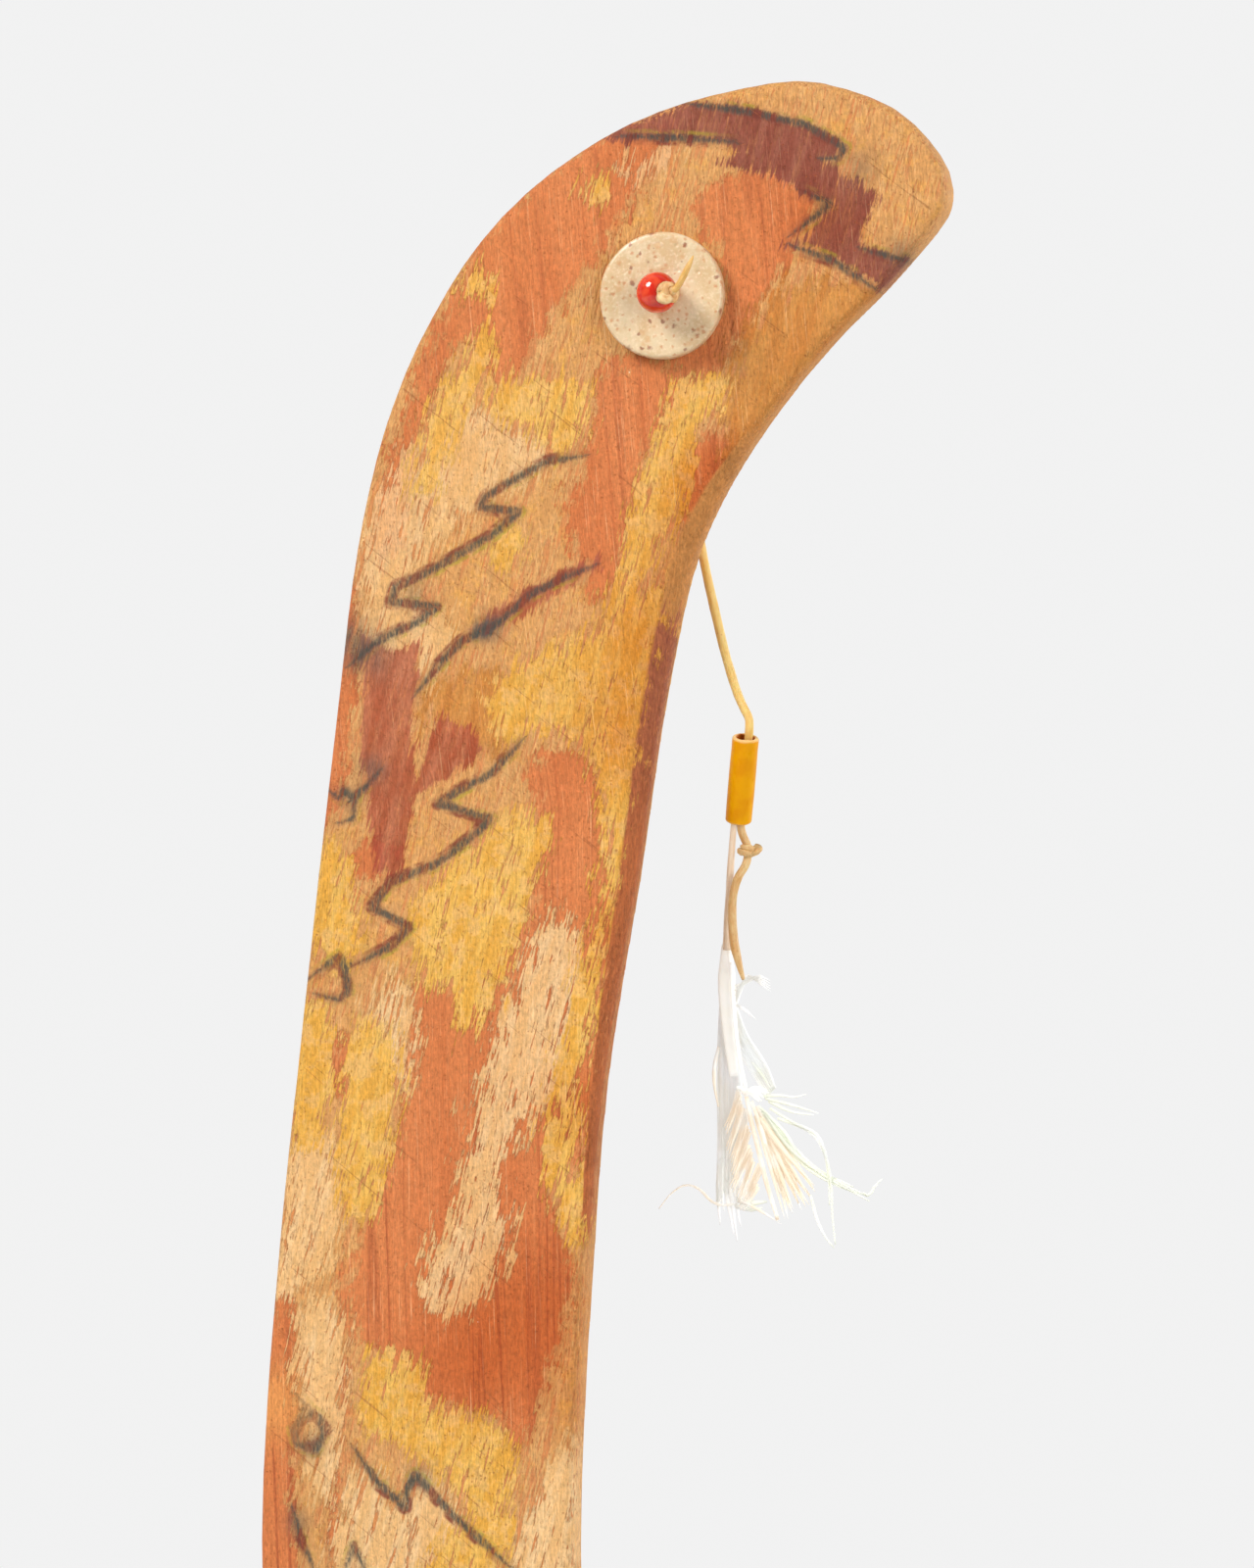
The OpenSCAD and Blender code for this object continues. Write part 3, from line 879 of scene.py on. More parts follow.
def paintedWood():
    made, tree, shader = startMaterial("paintedWood", Specular_IOR_Level=0.14)
    noises = woodNoises(tree)
    dashes, hairs, fine = noises["dashes"], noises["hairs"], noises["fine"]
    skin, relief = paintOver(tree, noises, stainedWood(tree, noises))
    skin = drawLines(tree, noises, skin)
    skin, pores, scratched = wearDown(tree, noises, skin)
    skin = narrowSide(tree, noises, skin)
    light = maths(tree, "MULTIPLY_ADD", dashes, 0.95, 0.495)
    light = maths(tree, "MULTIPLY_ADD", maths(tree, "SUBTRACT", hairs, 0.5), 0.45, light)
    light = maths(tree, "MULTIPLY_ADD", maths(tree, "SUBTRACT", fine, 0.5), 0.7, light)
    shade = addNode(tree, "HueSaturation", {"Value": light, "Saturation": 1.03,
                                            "Color": skin}).outputs[0]
    tree.links.new(shade, shader.inputs["Base Color"])
    tree.links.new(soften(tree, fine, 0.3, 0.7, 0.50, 0.68), shader.inputs["Roughness"])
    height = maths(tree, "MULTIPLY_ADD", dashes, 1.0, times(tree, hairs, 0.45))
    for pattern, amount in ((fine, 0.5), (noises["bristles"], 0.6), (relief, 1.0), (pores, -0.4),
                            (scratched, -0.6)):
        height = maths(tree, "MULTIPLY_ADD", pattern, amount, height)
    addBump(tree, shader, height, 0.9, 0.45 * mm)
    return made


thong = {
    "radius": 0.88 * mm,
    "flatness": 0.86,
    "frontRadius": 0.75 * mm,
    "stubRadius": 0.85 * mm,
    "step": 0.8 * mm,
    "rough": 0.05,
    "sides": 14,
}

runRoute = [
    (0.0500, 0.0053, 0.2525), (0.0500, 0.0061, 0.2525), (0.0500, 0.0069, 0.2522),
    (0.0501, 0.0074, 0.2515), (0.0502, 0.0075, 0.2506), (0.0503, 0.0075, 0.2499),
    (0.0506, 0.0077, 0.2450), (0.0511, 0.0080, 0.2380), (0.0522, 0.0083, 0.2290),
    (0.0536, 0.0086, 0.2195), (0.0552, 0.0088, 0.2100), (0.0570, 0.0089, 0.2005),
    (0.0592, 0.0090, 0.1905), (0.0614, 0.0090, 0.1815), (0.0636, 0.0088, 0.1745),
    (0.0653, 0.0085, 0.1706), (0.0665, 0.0083, 0.1683), (0.0666, 0.0083, 0.1665),
    (0.0663, 0.0090, 0.1644), (0.0654, 0.0108, 0.1589), (0.0650, 0.0116, 0.1565),
]
tailRoute = [
    (0.0650, 0.0116, 0.1563), (0.0645, 0.0126, 0.1534), (0.0636, 0.0145, 0.1474),
    (0.0634, 0.0150, 0.1460), (0.0638, 0.0156, 0.1442), (0.0644, 0.0160, 0.1428),
    (0.0646, 0.0162, 0.1412), (0.0645, 0.0162, 0.1398), (0.0640, 0.0161, 0.1382),
    (0.0627, 0.0158, 0.1360), (0.0618, 0.0157, 0.1330), (0.0614, 0.0158, 0.1290),
    (0.0617, 0.0160, 0.1230), (0.0626, 0.0162, 0.1186), (0.0636, 0.0164, 0.1150),
]
frontRoute = [
    (0.0500, 0.0051, 0.2525), (0.0500, 0.0000, 0.2525), (0.0500, -0.00871, 0.2525),
    (0.0501, -0.00941, 0.2525), (0.0503, -0.01011, 0.2525), (0.05058, -0.0105, 0.2525),
    (0.05251, -0.0128, 0.2525), (0.0554, -0.01625, 0.2525),
]
stubRoute = [
    (0.0566, -0.0177, 0.2519), (0.0577, -0.0180, 0.2527), (0.0589, -0.0186, 0.2542),
    (0.0602, -0.0192, 0.2563), (0.0615, -0.0195, 0.2588),
]


def taperEnd(count, share, least):
    # 1 along the line, falling to the least over the last share of it
    return [1 - (1 - least) * max(0, (i / (count - 1) - 1 + share) / share) ** 1.5
            for i in range(count)]


def makeThong(name, route, radius, material, taper=None, twist=1.2, flatness=None, seed=0):
    line = curveThrough(route, thong["step"])
    shape = taper(len(line)) if taper else [1] * len(line)
    swell = [1 + 0.07 * noise.noise(Vector((i * 0.23, seed, 3))) for i in range(len(line))]
    wide = [radius * a * b for a, b in zip(shape, swell)]
    flatness = flatness or thong["flatness"]
    bm = bmesh.new()
    sweep(bm, line, wide, [w * flatness for w in wide], sides=thong["sides"], twist=twist,
          rough=thong["rough"], seed=seed)
    return newPiece(name, bm, material), line


def rawhide(name, light, dark):
    made, tree, shader = startMaterial(name, Roughness=0.45, Subsurface_Weight=0.12,
                                       Subsurface_Scale=0.001, Specular_IOR_Level=0.45)
    lay = attribute(tree, "lay", "Vector")
    place = placeInMm(tree)
    strands = useGroup(tree, streaks, Vector=lay, Across=2.2, Along=0.35, Detail=4.0)
    patches = useGroup(tree, streaks, Vector=place, Across=0.55, Along=0.28, Detail=3.0,
                       Contrast=0.16)["Mask"]
    skin = blendColours(tree, patches, dark, light)
    skin = dab(tree, skin, strands["Mask"], 0.35, colour(246, 222, 170))
    flecks = useGroup(tree, specks, Vector=place, Scale=1.3, Size=0.3, Amount=0.3)["Mask"]
    skin = dab(tree, skin, flecks, 0.4, colour(190, 128, 62))
    tree.links.new(skin, shader.inputs["Base Color"])
    tree.links.new(soften(tree, strands["Raw"], 0.3, 0.7, 0.36, 0.58), shader.inputs["Roughness"])
    addBump(tree, shader, maths(tree, "MULTIPLY_ADD", patches, 0.3, strands["Raw"]), 0.9, 0.22 * mm)
    return made


knots = {
    "knotFront": {
        "middle": (0.0563, -0.0173, 0.2521),
        "axis": (0.62, -0.74, 0.1),         # the way the cord runs through it
        "facing": (0, -0.6, 0.8),           # the side that the last turn ends on
        "strand": 0.85 * mm,
        "reach": 1.25 * mm,
        "height": 1.9 * mm,
    },
    "knotLower": {
        "middle": (0.0645, 0.0161, 0.1414),
        "axis": (0.05, 0.1, 1),
        "facing": (-0.3, -1, 0),
        "strand": 0.72 * mm,
        "reach": 1.35 * mm,
        "height": 1.7 * mm,
    },
}
knotTurns = 1.35
knotStart = -0.9            # radians from the facing side


def knotLine(knot):
    # a strand wound round the cord, closed by a hump laid over the winding
    axis = Vector(knot["axis"]).normalized()
    facing = Vector(knot["facing"])
    facing = (facing - axis * facing.dot(axis)).normalized()
    side = axis.cross(facing)

    def at(angle, reach, along):
        way = facing * math.cos(angle) + side * math.sin(angle)
        return Vector(knot["middle"]) + way * reach + axis * knot["height"] * along

    line = []
    winding, hump = 44, 14
    for i in range(winding + 1):
        t = i / winding
        a = math.tau * knotTurns * t + knotStart
        line.append(at(a, knot["reach"] * (1 + 0.10 * math.sin(3 * a)), 0.5 - t))
    for i in range(1, hump + 1):
        t = i / hump
        a = math.tau * knotTurns + knotStart + 1.1 * t
        line.append(at(a, knot["reach"] * (1 + 0.75 * math.sin(math.pi * t)), -0.5 + 1.15 * t))
    return line


def makeKnot(name, material, seed):
    knot = knots[name]
    strand, height = knot["strand"], knot["height"]
    line = curveThrough(knotLine(knot), 0.35 * mm)
    bm = bmesh.new()
    thin = [strand * (1 - 0.5 * abs(2 * i / (len(line) - 1) - 1) ** 8) for i in range(len(line))]
    sweep(bm, line, thin, [t * 0.85 for t in thin], sides=12, twist=2.0, rough=0.14, seed=seed)
    axis = Vector(knot["axis"]).normalized()
    core = [Vector(knot["middle"]) + axis * height * k for k in
            (0.75, 0.5, 0.25, 0, -0.25, -0.5, -0.75)]
    fat = [strand * k for k in (0.9, 1.15, 1.3, 1.35, 1.3, 1.15, 0.9)]
    sweep(bm, core, fat, fat, sides=12, rough=0.14, seed=seed + 3)
    return newPiece(name, bm, material)


hideYellow = rawhide("hideYellow", colour(238, 200, 108), colour(232, 182, 82))
hideTan = rawhide("hideTan", colour(226, 188, 128), colour(206, 152, 84))
hideCream = rawhide("hideCream", colour(238, 204, 150), colour(208, 146, 78))
hideGold = rawhide("hideGold", colour(220, 168, 78), colour(202, 142, 50))

runThong, runLine = makeThong("thongBehind", runRoute, thong["radius"], hideYellow, seed=1)
tailThong, tailLine = makeThong("thongTail", tailRoute, thong["radius"], hideTan, seed=2,
                                taper=lambda count: taperEnd(count, 0.16, 0.35))
frontThong, frontLine = makeThong("thongFront", frontRoute, thong["frontRadius"], hideCream, seed=3)
stubThong, stubLine = makeThong("thongStub", stubRoute, thong["stubRadius"], hideGold, seed=4,
                                flatness=0.8, taper=lambda count: taperEnd(count, 0.45, 0.18))
frontKnot = makeKnot("knotFront", hideCream, 5)
lowerKnot = makeKnot("knotLower", hideTan, 6)

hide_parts("thong_bend", "thong_run")
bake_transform(runThong)
join(tailThong, "pendant", "rawhide", "thong_lower", "thong_tail")
join(lowerKnot, "pendant", "rawhide", "knot_lower")
join(frontThong, "stick", "rawhide", "thong_front")
join(stubThong, "stick", "rawhide", "tail_front")
join(frontKnot, "stick", "rawhide", "knot_front")
print("thongs made: %.1f mm behind, %.1f mm below" % (
    lengthOf(runLine) / mm, lengthOf(tailLine) / mm))


makeBlade(paintedWood())
print("stick painted")


disk = {
    "centre": (0.0522, -0.00695, 0.2525),
    "radius": 12.7 * mm,
    "thick": 3.2 * mm,
    "rim": 0.9 * mm,
    "holeRadius": 1.3 * mm,
    "holeLength": 40 * mm,
    "voxel": 0.24 * mm,
    "smoothing": 5,
}


def handCut(place):
    # slow waves and a few small pits
    wave = noise.noise(Vector((place.x / 4.5, place.y / 3, place.z / 4.5)))
    pit = noise.noise(Vector((place.x * 1.1, place.y, place.z * 1.1 + 50)))
    return (wave * 0.05 - max(0, pit - 0.42) * 0.5) * mm


def makeDisk(material):
    bm = bmesh.new()
    bmesh.ops.create_cone(bm, cap_ends=True, segments=128, radius1=disk["radius"],
                          radius2=disk["radius"], depth=disk["thick"],
                          matrix=Matrix.Translation(disk["centre"]) @ faceOn)
    rims = [e for e in bm.edges if abs(e.verts[0].co.y - e.verts[1].co.y) < 1e-6]
    bmesh.ops.bevel(bm, geom=rims, offset=disk["rim"], offset_type="OFFSET", affect="EDGES",
                    segments=5, profile=0.5, material=-1)
    made = newPiece("diskAntler", bm, material)
    cutHole(made, disk["holeRadius"], disk["holeLength"], 32)
    voxelSkin(made, disk["voxel"], disk["smoothing"])
    applyModifiers(made)
    pushOut(made, handCut)
    made.data.materials.clear()
    made.data.materials.append(material)
    return join(made, "disk", "antler", "antler_disk")


def antler():
    made, tree, shader = startMaterial("antler", Roughness=0.38, Subsurface_Weight=0.15,
                                       Subsurface_Scale=0.002, Coat_Weight=0.15,
                                       Coat_Roughness=0.3)
    place = placeInMm(tree)
    cloudy = clouds(tree, place, 0.16, 4.0, Roughness=0.6)
    fine = clouds(tree, place, 1.8, 3.0)
    bone = blendColours(tree, soften(tree, cloudy, 0.40, 0.62), colour(219, 196, 158),
                        colour(209, 178, 134))
    bone = blendColours(tree, soften(tree, fine, 0.45, 0.8, 0.0, 0.5), bone, colour(242, 220, 188))
    warped = addNode(tree, "VectorMath", {0: place, 1: addNode(tree, "TexNoise", {
        "Vector": place, "Scale": 1.1, "Detail": 2.0}).outputs["Color"]}, operation="ADD").outputs[0]
    stain = useGroup(tree, specks, Vector=warped, Scale=0.62, Size=0.50, Amount=0.55)["Mask"]
    stain = times(tree, stain, soften(tree, cloudy, 0.36, 0.52, 0.06, 0.36))
    bone = blendColours(tree, stain, bone, colour(206, 150, 96))
    dark = useGroup(tree, specks, Vector=warped, Scale=0.44, Size=0.40, Amount=0.62)["Mask"]
    small = useGroup(tree, specks, Vector=warped, Scale=0.80, Size=0.46, Amount=0.5)["Mask"]
    bone = dab(tree, bone, small, 0.6, colour(194, 120, 70))
    bone = dab(tree, bone, dark, 0.72, colour(136, 66, 40))
    tree.links.new(bone, shader.inputs["Base Color"])
    tree.links.new(soften(tree, fine, 0.3, 0.7, 0.30, 0.46), shader.inputs["Roughness"])
    height = maths(tree, "MULTIPLY_ADD", dark, -0.6, times(tree, fine, 0.3))
    addBump(tree, shader, maths(tree, "MULTIPLY_ADD", stain, -0.2, height), 0.5, 0.12 * mm)
    return made


bead = {
    "middle": (0.052507, -0.0128, 0.2525),
    "axis": (0.6428, -0.7660, 0),
    "radius": 4.1 * mm,
    "holeRadius": 1.3 * mm,
    "coreRadius": 1.75 * mm,
}


def makeBead(glass, core):
    radius, hole, white = bead["radius"], bead["holeRadius"], bead["coreRadius"]
    lean = math.degrees(math.asin(white / radius))
    outside = arc((0, 0), radius, 180 - lean, lean, 40)
    mouth = radius * math.cos(math.radians(lean))
    bm = bmesh.new()
    lathe(bm, outside + [(mouth * 0.7, white * 0.99), (-mouth * 0.7, white * 0.99), outside[0]],
          bead["middle"], bead["axis"], 72)
    shell = newPiece("beadRed", bm, glass)
    bm = bmesh.new()
    lip = mouth + 0.02 * mm
    lathe(bm, [(-lip, hole), (-lip, white * 0.97), (lip, white * 0.97), (lip, hole),
               (-lip, hole)], bead["middle"], bead["axis"], 48)
    bmesh.ops.bevel(bm, geom=[e for e in bm.edges if e.is_manifold], offset=0.1 * mm,
                    offset_type="OFFSET", affect="EDGES", segments=2, profile=0.5, material=-1)
    inner = newPiece("beadCore", bm, core)
    join(shell, "bead", "red_glass", "red_bead")
    join(inner, "bead", "red_glass")


def redGlass():
    made, tree, shader = startMaterial("redGlass", Roughness=0.08, IOR=1.5, Metallic=0.0,
                                       Transmission_Weight=0.15, Coat_Weight=0.35,
                                       Coat_Roughness=0.04, Subsurface_Weight=0.25,
                                       Subsurface_Scale=0.003)
    shader.inputs["Subsurface Radius"].default_value = (1.0, 0.12, 0.06)
    place = placeInMm(tree)
    swirl = clouds(tree, place, 0.45, 3.0, Distortion=0.6)
    tint = blendColours(tree, soften(tree, swirl, 0.38, 0.62), colour(222, 40, 16),
                        colour(236, 78, 40))
    tree.links.new(tint, shader.inputs["Base Color"])
    fine = clouds(tree, place, 3.0, 3.0)
    tree.links.new(soften(tree, fine, 0.35, 0.7, 0.05, 0.16), shader.inputs["Roughness"])
    addBump(tree, shader, swirl, 0.15, 0.08 * mm)
    return made


def whiteCore():
    made, tree, shader = startMaterial("whiteCore", Roughness=0.35, Subsurface_Weight=0.2,
                                       Subsurface_Scale=0.001)
    cloudy = clouds(tree, placeInMm(tree), 1.3, 3.0)
    tint = blendColours(tree, soften(tree, cloudy, 0.4, 0.65), colour(236, 190, 170),
                        colour(226, 120, 92))
    tree.links.new(tint, shader.inputs["Base Color"])
    addBump(tree, shader, cloudy, 0.3, 0.05 * mm)
    return made


tube = {
    "middle": (0.0644, 0.0115, 0.15595),
    "axis": (0.150, -0.307, 0.940),
    "length": 18.2 * mm,
    "radius": 2.7 * mm,
    "bore": 1.75 * mm,
    "rim": 0.45 * mm,
}


def makeTube(material):
    half, radius, bore, rim = tube["length"] / 2, tube["radius"], tube["bore"], tube["rim"]
    profile = arc((half - rim, radius - rim), rim, 90, 0, 5) + arc((half - rim, bore + rim), rim,
                                                                    0, -90, 5)
    far = [(-along, reach) for along, reach in reversed(profile)]
    waist = [(half * k, bore) for k in (0.6, 0.2, -0.2, -0.6)]
    belly = [(-half * k, radius * swell) for k, swell in
             ((0.7, 1.0), (0.4, 1.012), (0, 1.02), (-0.4, 1.012), (-0.7, 1.0))]
    bm = bmesh.new()
    lathe(bm, profile + waist + far + belly + profile[:1], tube["middle"], tube["axis"], 64)
    for v in bm.verts:
        place = v.co / mm
        v.co += v.normal * noise.noise(place * 0.8) * 0.05 * mm
        chip = max(0, noise.noise(place * 1.7 + Vector((9, 2, 4))) - 0.25)
        ends = abs((v.co - Vector(tube["middle"])).dot(Vector(tube["axis"]).normalized())) / half
        v.co -= v.normal * chip * max(0, ends - 0.9) * 3.5 * mm
    made = newPiece("tubeAmber", bm, material)
    return join(made, "tube", "amber_tube", "tube_bead")


def amberTube():
    made, tree, shader = startMaterial("amberTube", Roughness=0.4, Specular_IOR_Level=0.1,
                                       Subsurface_Weight=0.1, Subsurface_Scale=0.0015)
    place = placeInMm(tree)
    cloudy = clouds(tree, place, 0.3, 4.0)
    along = useGroup(tree, streaks, Vector=place, Across=1.4, Along=0.25, Detail=4.0)
    skin = blendColours(tree, soften(tree, cloudy, 0.38, 0.65), colour(226, 156, 0),
                        colour(219, 142, 0))
    skin = dab(tree, skin, along["Mask"], 0.2, colour(234, 172, 8))
    middle, axis = Vector(tube["middle"]) / mm, Vector(tube["axis"]).normalized()
    offset = addNode(tree, "VectorMath", {0: place, 1: tuple(middle)}, operation="SUBTRACT")
    reach = addNode(tree, "VectorMath", {0: offset.outputs[0], 1: tuple(axis)},
                    operation="DOT_PRODUCT").outputs["Value"]
    ends = soften(tree, maths(tree, "ADD", maths(tree, "ABSOLUTE", reach),
                              times(tree, cloudy, 0.8)), 8.9, 9.5)
    skin = dab(tree, skin, ends, 0.75, colour(236, 200, 140))
    # painted shade: the inside of the bore and its inner lip are made darker brown
    sink = addNode(tree, "VectorMath", {0: offset.outputs[0], 1: tuple(axis)},
                   operation="CROSS_PRODUCT").outputs[0]
    far = addNode(tree, "VectorMath", {0: sink}, operation="LENGTH").outputs["Value"]
    skin = blendColours(tree, soften(tree, far, 2.1, 1.8), skin, colour(176, 92, 22))
    tree.links.new(skin, shader.inputs["Base Color"])
    tree.links.new(soften(tree, along["Raw"], 0.3, 0.7, 0.25, 0.42), shader.inputs["Roughness"])
    addBump(tree, shader, along["Raw"], 0.3, 0.06 * mm)
    return made


makeDisk(antler())
makeBead(redGlass(), whiteCore())
makeTube(amberTube())
print("disk, bead and tube made")


feather = {                 # half widths in mm, and how many barbs each part has
    "webBarbs": 15,
    "webWidth": 0.62,
    "rightBarbs": 9,
    "fanWidth": 0.62,
    "fanSpread": 0.8,
    "fanBarbs": 6,          # between two given tips
    "strayWidth": 0.36,
    "greenWidth": 0.42,     # the four strays that run together to the right
}


def quillHorn(name, light, dark, rough, glow):
    made, tree, shader = startMaterial(name, Roughness=rough, Subsurface_Weight=0.2,
                                       Subsurface_Scale=0.001, IOR=1.5, Emission_Strength=glow)
    shader.inputs["Subsurface Radius"].default_value = (1, 0.8, 0.7)
    lay = attribute(tree, "lay", "Vector")
    fibres = useGroup(tree, streaks, Vector=lay, Across=2.6, Along=0.12, Detail=4.0)
    cloudy = clouds(tree, placeInMm(tree), 0.25, 3.0)
    skin = blendColours(tree, soften(tree, cloudy, 0.4, 0.62), light, dark)
    skin = dab(tree, skin, fibres["Mask"], 0.3, colour(250, 246, 236))
    tree.links.new(skin, shader.inputs["Base Color"])
    # painted light: the quill glows with its own colour, which keeps it bright in the stick's shadow
    tree.links.new(skin, shader.inputs["Emission Color"])
    tree.links.new(soften(tree, fibres["Raw"], 0.3, 0.7, rough - 0.08, rough + 0.1),
                   shader.inputs["Roughness"])
    addBump(tree, shader, fibres["Raw"], 0.4, 0.06 * mm)
    return made


def vaneWeb(name, light, dark, glow):
    # fine barbs side by side, with a little painted glow that stands in for the light coming through
    # them and keeps them bright in the stick's shadow
    made, tree, shader = startMaterial(name, Roughness=0.7, Specular_IOR_Level=0.2,
                                       Subsurface_Weight=0.5, Subsurface_Scale=0.0015,
                                       Emission_Strength=glow)
    shader.inputs["Subsurface Radius"].default_value = (1, 1, 1)
    lay = attribute(tree, "lay", "Vector")
    place = placeInMm(tree)
    barbs = useGroup(tree, streaks, Vector=lay, Across=5.0, Along=0.10, Detail=4.0, Contrast=0.12)
    stained = useGroup(tree, streaks, Vector=place, Across=0.13, Along=0.08, Detail=3.0,
                       Contrast=0.08)["Mask"]
    skin = blendColours(tree, stained, light, dark)
    skin = dab(tree, skin, barbs["Mask"], 0.4, colour(250, 249, 246))
    tree.links.new(skin, shader.inputs["Base Color"])
    # painted light: the barbs glow with their own colour
    tree.links.new(skin, shader.inputs["Emission Color"])
    addBump(tree, shader, barbs["Raw"], 0.25, 0.06 * mm)
    return made


# the last number of each is its painted glow, light the feather gives off of its own
quillPink = quillHorn("quillPink", colour(230, 206, 178), colour(222, 194, 162), 0.38, 0.12)
quillWhite = quillHorn("quillWhite", colour(238, 239, 237), colour(236, 236, 229), 0.4, 0.32)
quillTan = quillHorn("quillTan", colour(238, 232, 220), colour(234, 214, 190), 0.4, 0.14)
webWhite = vaneWeb("webWhite", colour(238, 240, 240), colour(234, 234, 228), 0.17)
barbTan = vaneWeb("barbTan", colour(240, 237, 228), colour(243, 222, 190), 0.14)
barbGreen = vaneWeb("barbGreen", colour(238, 241, 232), colour(228, 234, 208), 0.08)


def strand(bm, points, width, thick=None, tip=0.12, root=0.8, step=1.2, sides=6, seed=0):
    # one flat tapering strand through points in mm, facing the viewer's side
    line = [p * mm for p in curveThrough(points, step)]
    count = len(line)
    wide, deep = [], []
    for i in range(count):
        t = i / (count - 1)
        shape = root + (1 - root) * min(1, t * 4)
        shape *= 1 - (1 - tip) * max(0, (t - 0.35) / 0.65) ** 1.3
        wide.append(width * shape * mm)
        deep.append((thick or width * 0.35) * (0.4 + 0.6 * shape) * mm)
    lean = 0.22 * math.sin(seed * 1.7)
    sweep(bm, line, wide, deep, sides=sides, normal=(0.24 + lean, -0.97, 0.3 * lean), rough=0.06,
          seed=seed)


def comb(bm, root, tips, width, spread, seed):
    # barbs that run out from near one root to a row of tips, filled in between the given ones
    rng = random.Random(seed)
    rows = []
    for a, b in zip(tips, tips[1:]):
        for i in range(feather["fanBarbs"]):
            rows.append(Vector(a).lerp(Vector(b), i / feather["fanBarbs"]))
    rows.append(Vector(tips[-1]))
    for i, tip in enumerate(rows):
        start = Vector(root) + Vector((rng.uniform(-1, 1), rng.uniform(-0.5, 0.5),
                                       rng.uniform(-1, 1))) * spread
        tip = tip + Vector((rng.uniform(-1, 1), rng.uniform(-0.6, 0.6), rng.uniform(-1, 1))) * 0.9
        middle = start.lerp(tip, 0.55)
        middle += Vector((rng.uniform(-0.6, 0.6), rng.uniform(-0.5, 0.5), rng.uniform(-0.5, 0.5)))
        strand(bm, [start, middle, tip], width * rng.uniform(0.75, 1.2), seed=seed + i)


def featherPiece(name, material, slotName, nodes, build):
    bm = bmesh.new()
    build(bm)
    made = newPiece(name, bm, material)
    return join(made, "tube", slotName, *nodes)


def buildQuill(bm):
    line = [p * mm for p in curveThrough([
        (62.9, 12.4, 152), (62.2, 13.9, 147.4), (61.4, 15.6, 142.2), (60.7, 17.1, 137.2),
        (60.2, 18.5, 131.6), (59.6, 19.6, 126), (59.3, 20.2, 121)], 1.0)]
    wide = [(0.66 + 0.34 * i / (len(line) - 1)) * mm for i in range(len(line))]
    sweep(bm, line, wide, [w * 0.85 for w in wide], sides=14, rough=0.05, seed=11)


def buildSheath(bm):
    # papery sheath that the quill opens into
    strand(bm, [(59.2, 20.3, 122), (59.2, 20.5, 116), (59.4, 20.6, 109), (60, 20.7, 101),
                (60.6, 20.8, 95)], 1.75, 0.40, tip=0.5, root=0.6, sides=14, seed=21)
    strand(bm, [(58.7, 20.6, 122.6), (58.4, 20.9, 114), (58.1, 21, 108)], 0.55, 0.14, tip=0.5,
           seed=22)
    strand(bm, [(59.8, 20.1, 120.8), (60.6, 20.4, 112), (61.0, 20.5, 104)], 0.6, 0.12, tip=0.3,
           seed=23)


def buildShaft(bm):
    strand(bm, [(60.3, 19.3, 118.5), (60.7, 19.2, 112), (61.3, 19.2, 105), (62.1, 19.2, 99),
                (63.4, 19.3, 92.8)], 0.48, 0.36, tip=0.85, sides=10, seed=31)
    for i in range(7):      # the gnarled place where the shaft is cracked over
        a = i * 0.9
        strand(bm, [(61.6 + 0.5 * i, 19 + 0.5 * math.sin(a), 92 + 0.8 * math.cos(a)),
                    (63.5 + 0.4 * i, 19.3 + 0.4 * math.cos(a), 92.4 - 0.5 * math.sin(a)),
                    (65.2 + 0.5 * i, 19.5, 90.8 + 0.9 * math.cos(a + 1))], 0.5, 0.3, tip=0.3,
               seed=32 + i)


def buildSecondShaft(bm):
    strand(bm, [(63.6, 19.3, 91), (64.6, 19.3, 86), (65.9, 19.4, 81), (67.6, 19.5, 74),
                (70.1, 19.6, 65.8)], 0.52, 0.3, tip=0.75, sides=10, seed=41)
    strand(bm, [(64.6, 19.6, 90), (66.8, 19.8, 84), (68.4, 20, 77.5), (70.6, 20, 71)], 0.45, 0.14,
           tip=0.4, sides=8, seed=42)
    strand(bm, [(65.6, 19.9, 89), (68.3, 20.1, 84.5), (70.2, 20.3, 79)], 0.5, 0.12, tip=0.3,
           seed=43)


def buildVaneLeft(bm):
    # long web down the left, made of close barbs
    rng = random.Random(7)
    for i in range(feather["webBarbs"]):
        t = i / (feather["webBarbs"] - 1)
        top = (58.3 + 2.6 * t, 21.6 - 1.0 * t, 119 - 9 * t + rng.uniform(-1, 1))
        upper = (57.3 + 4.4 * t, 22 - 0.9 * t, 98 - 2 * t)
        lower = (57.2 + 4.6 * t, 22.2 - 0.7 * t, 84 + rng.uniform(-1, 1))
        foot = (56.8 + 5.0 * t, 22 + rng.uniform(-0.4, 0.4), 70.5 + rng.uniform(-2, 4))
        strand(bm, [top, upper, lower, foot], feather["webWidth"], 0.10, tip=0.45, seed=50 + i,
               step=1.6)
    for i, (x, z) in enumerate([(57.4, 64.2), (58.2, 67), (60.3, 62.3), (61, 60.9), (61.7, 64)]):
        strand(bm, [(57.6 + 0.7 * i, 22, 78), (57 + 0.9 * i, 22.2, 71), (x, 22.3, z)], 0.6, 0.14,
               tip=0.15, seed=70 + i)
    for i in range(5):      # the small curled barbs beside the sheath
        strand(bm, [(61, 20.4, 113.5 - i), (63.6, 20, 114.4 + 0.3 * i), (66.2, 19.8, 115.7 - 0.4 * i),
                    (68.5, 19.9, 114.6 - 0.5 * i)], 0.42, 0.10, tip=0.2, seed=80 + i)
    strand(bm, [(61.4, 20.4, 109.6), (63.2, 20.2, 108.6), (65.6, 20, 106.6)], 0.4, 0.1, seed=86)


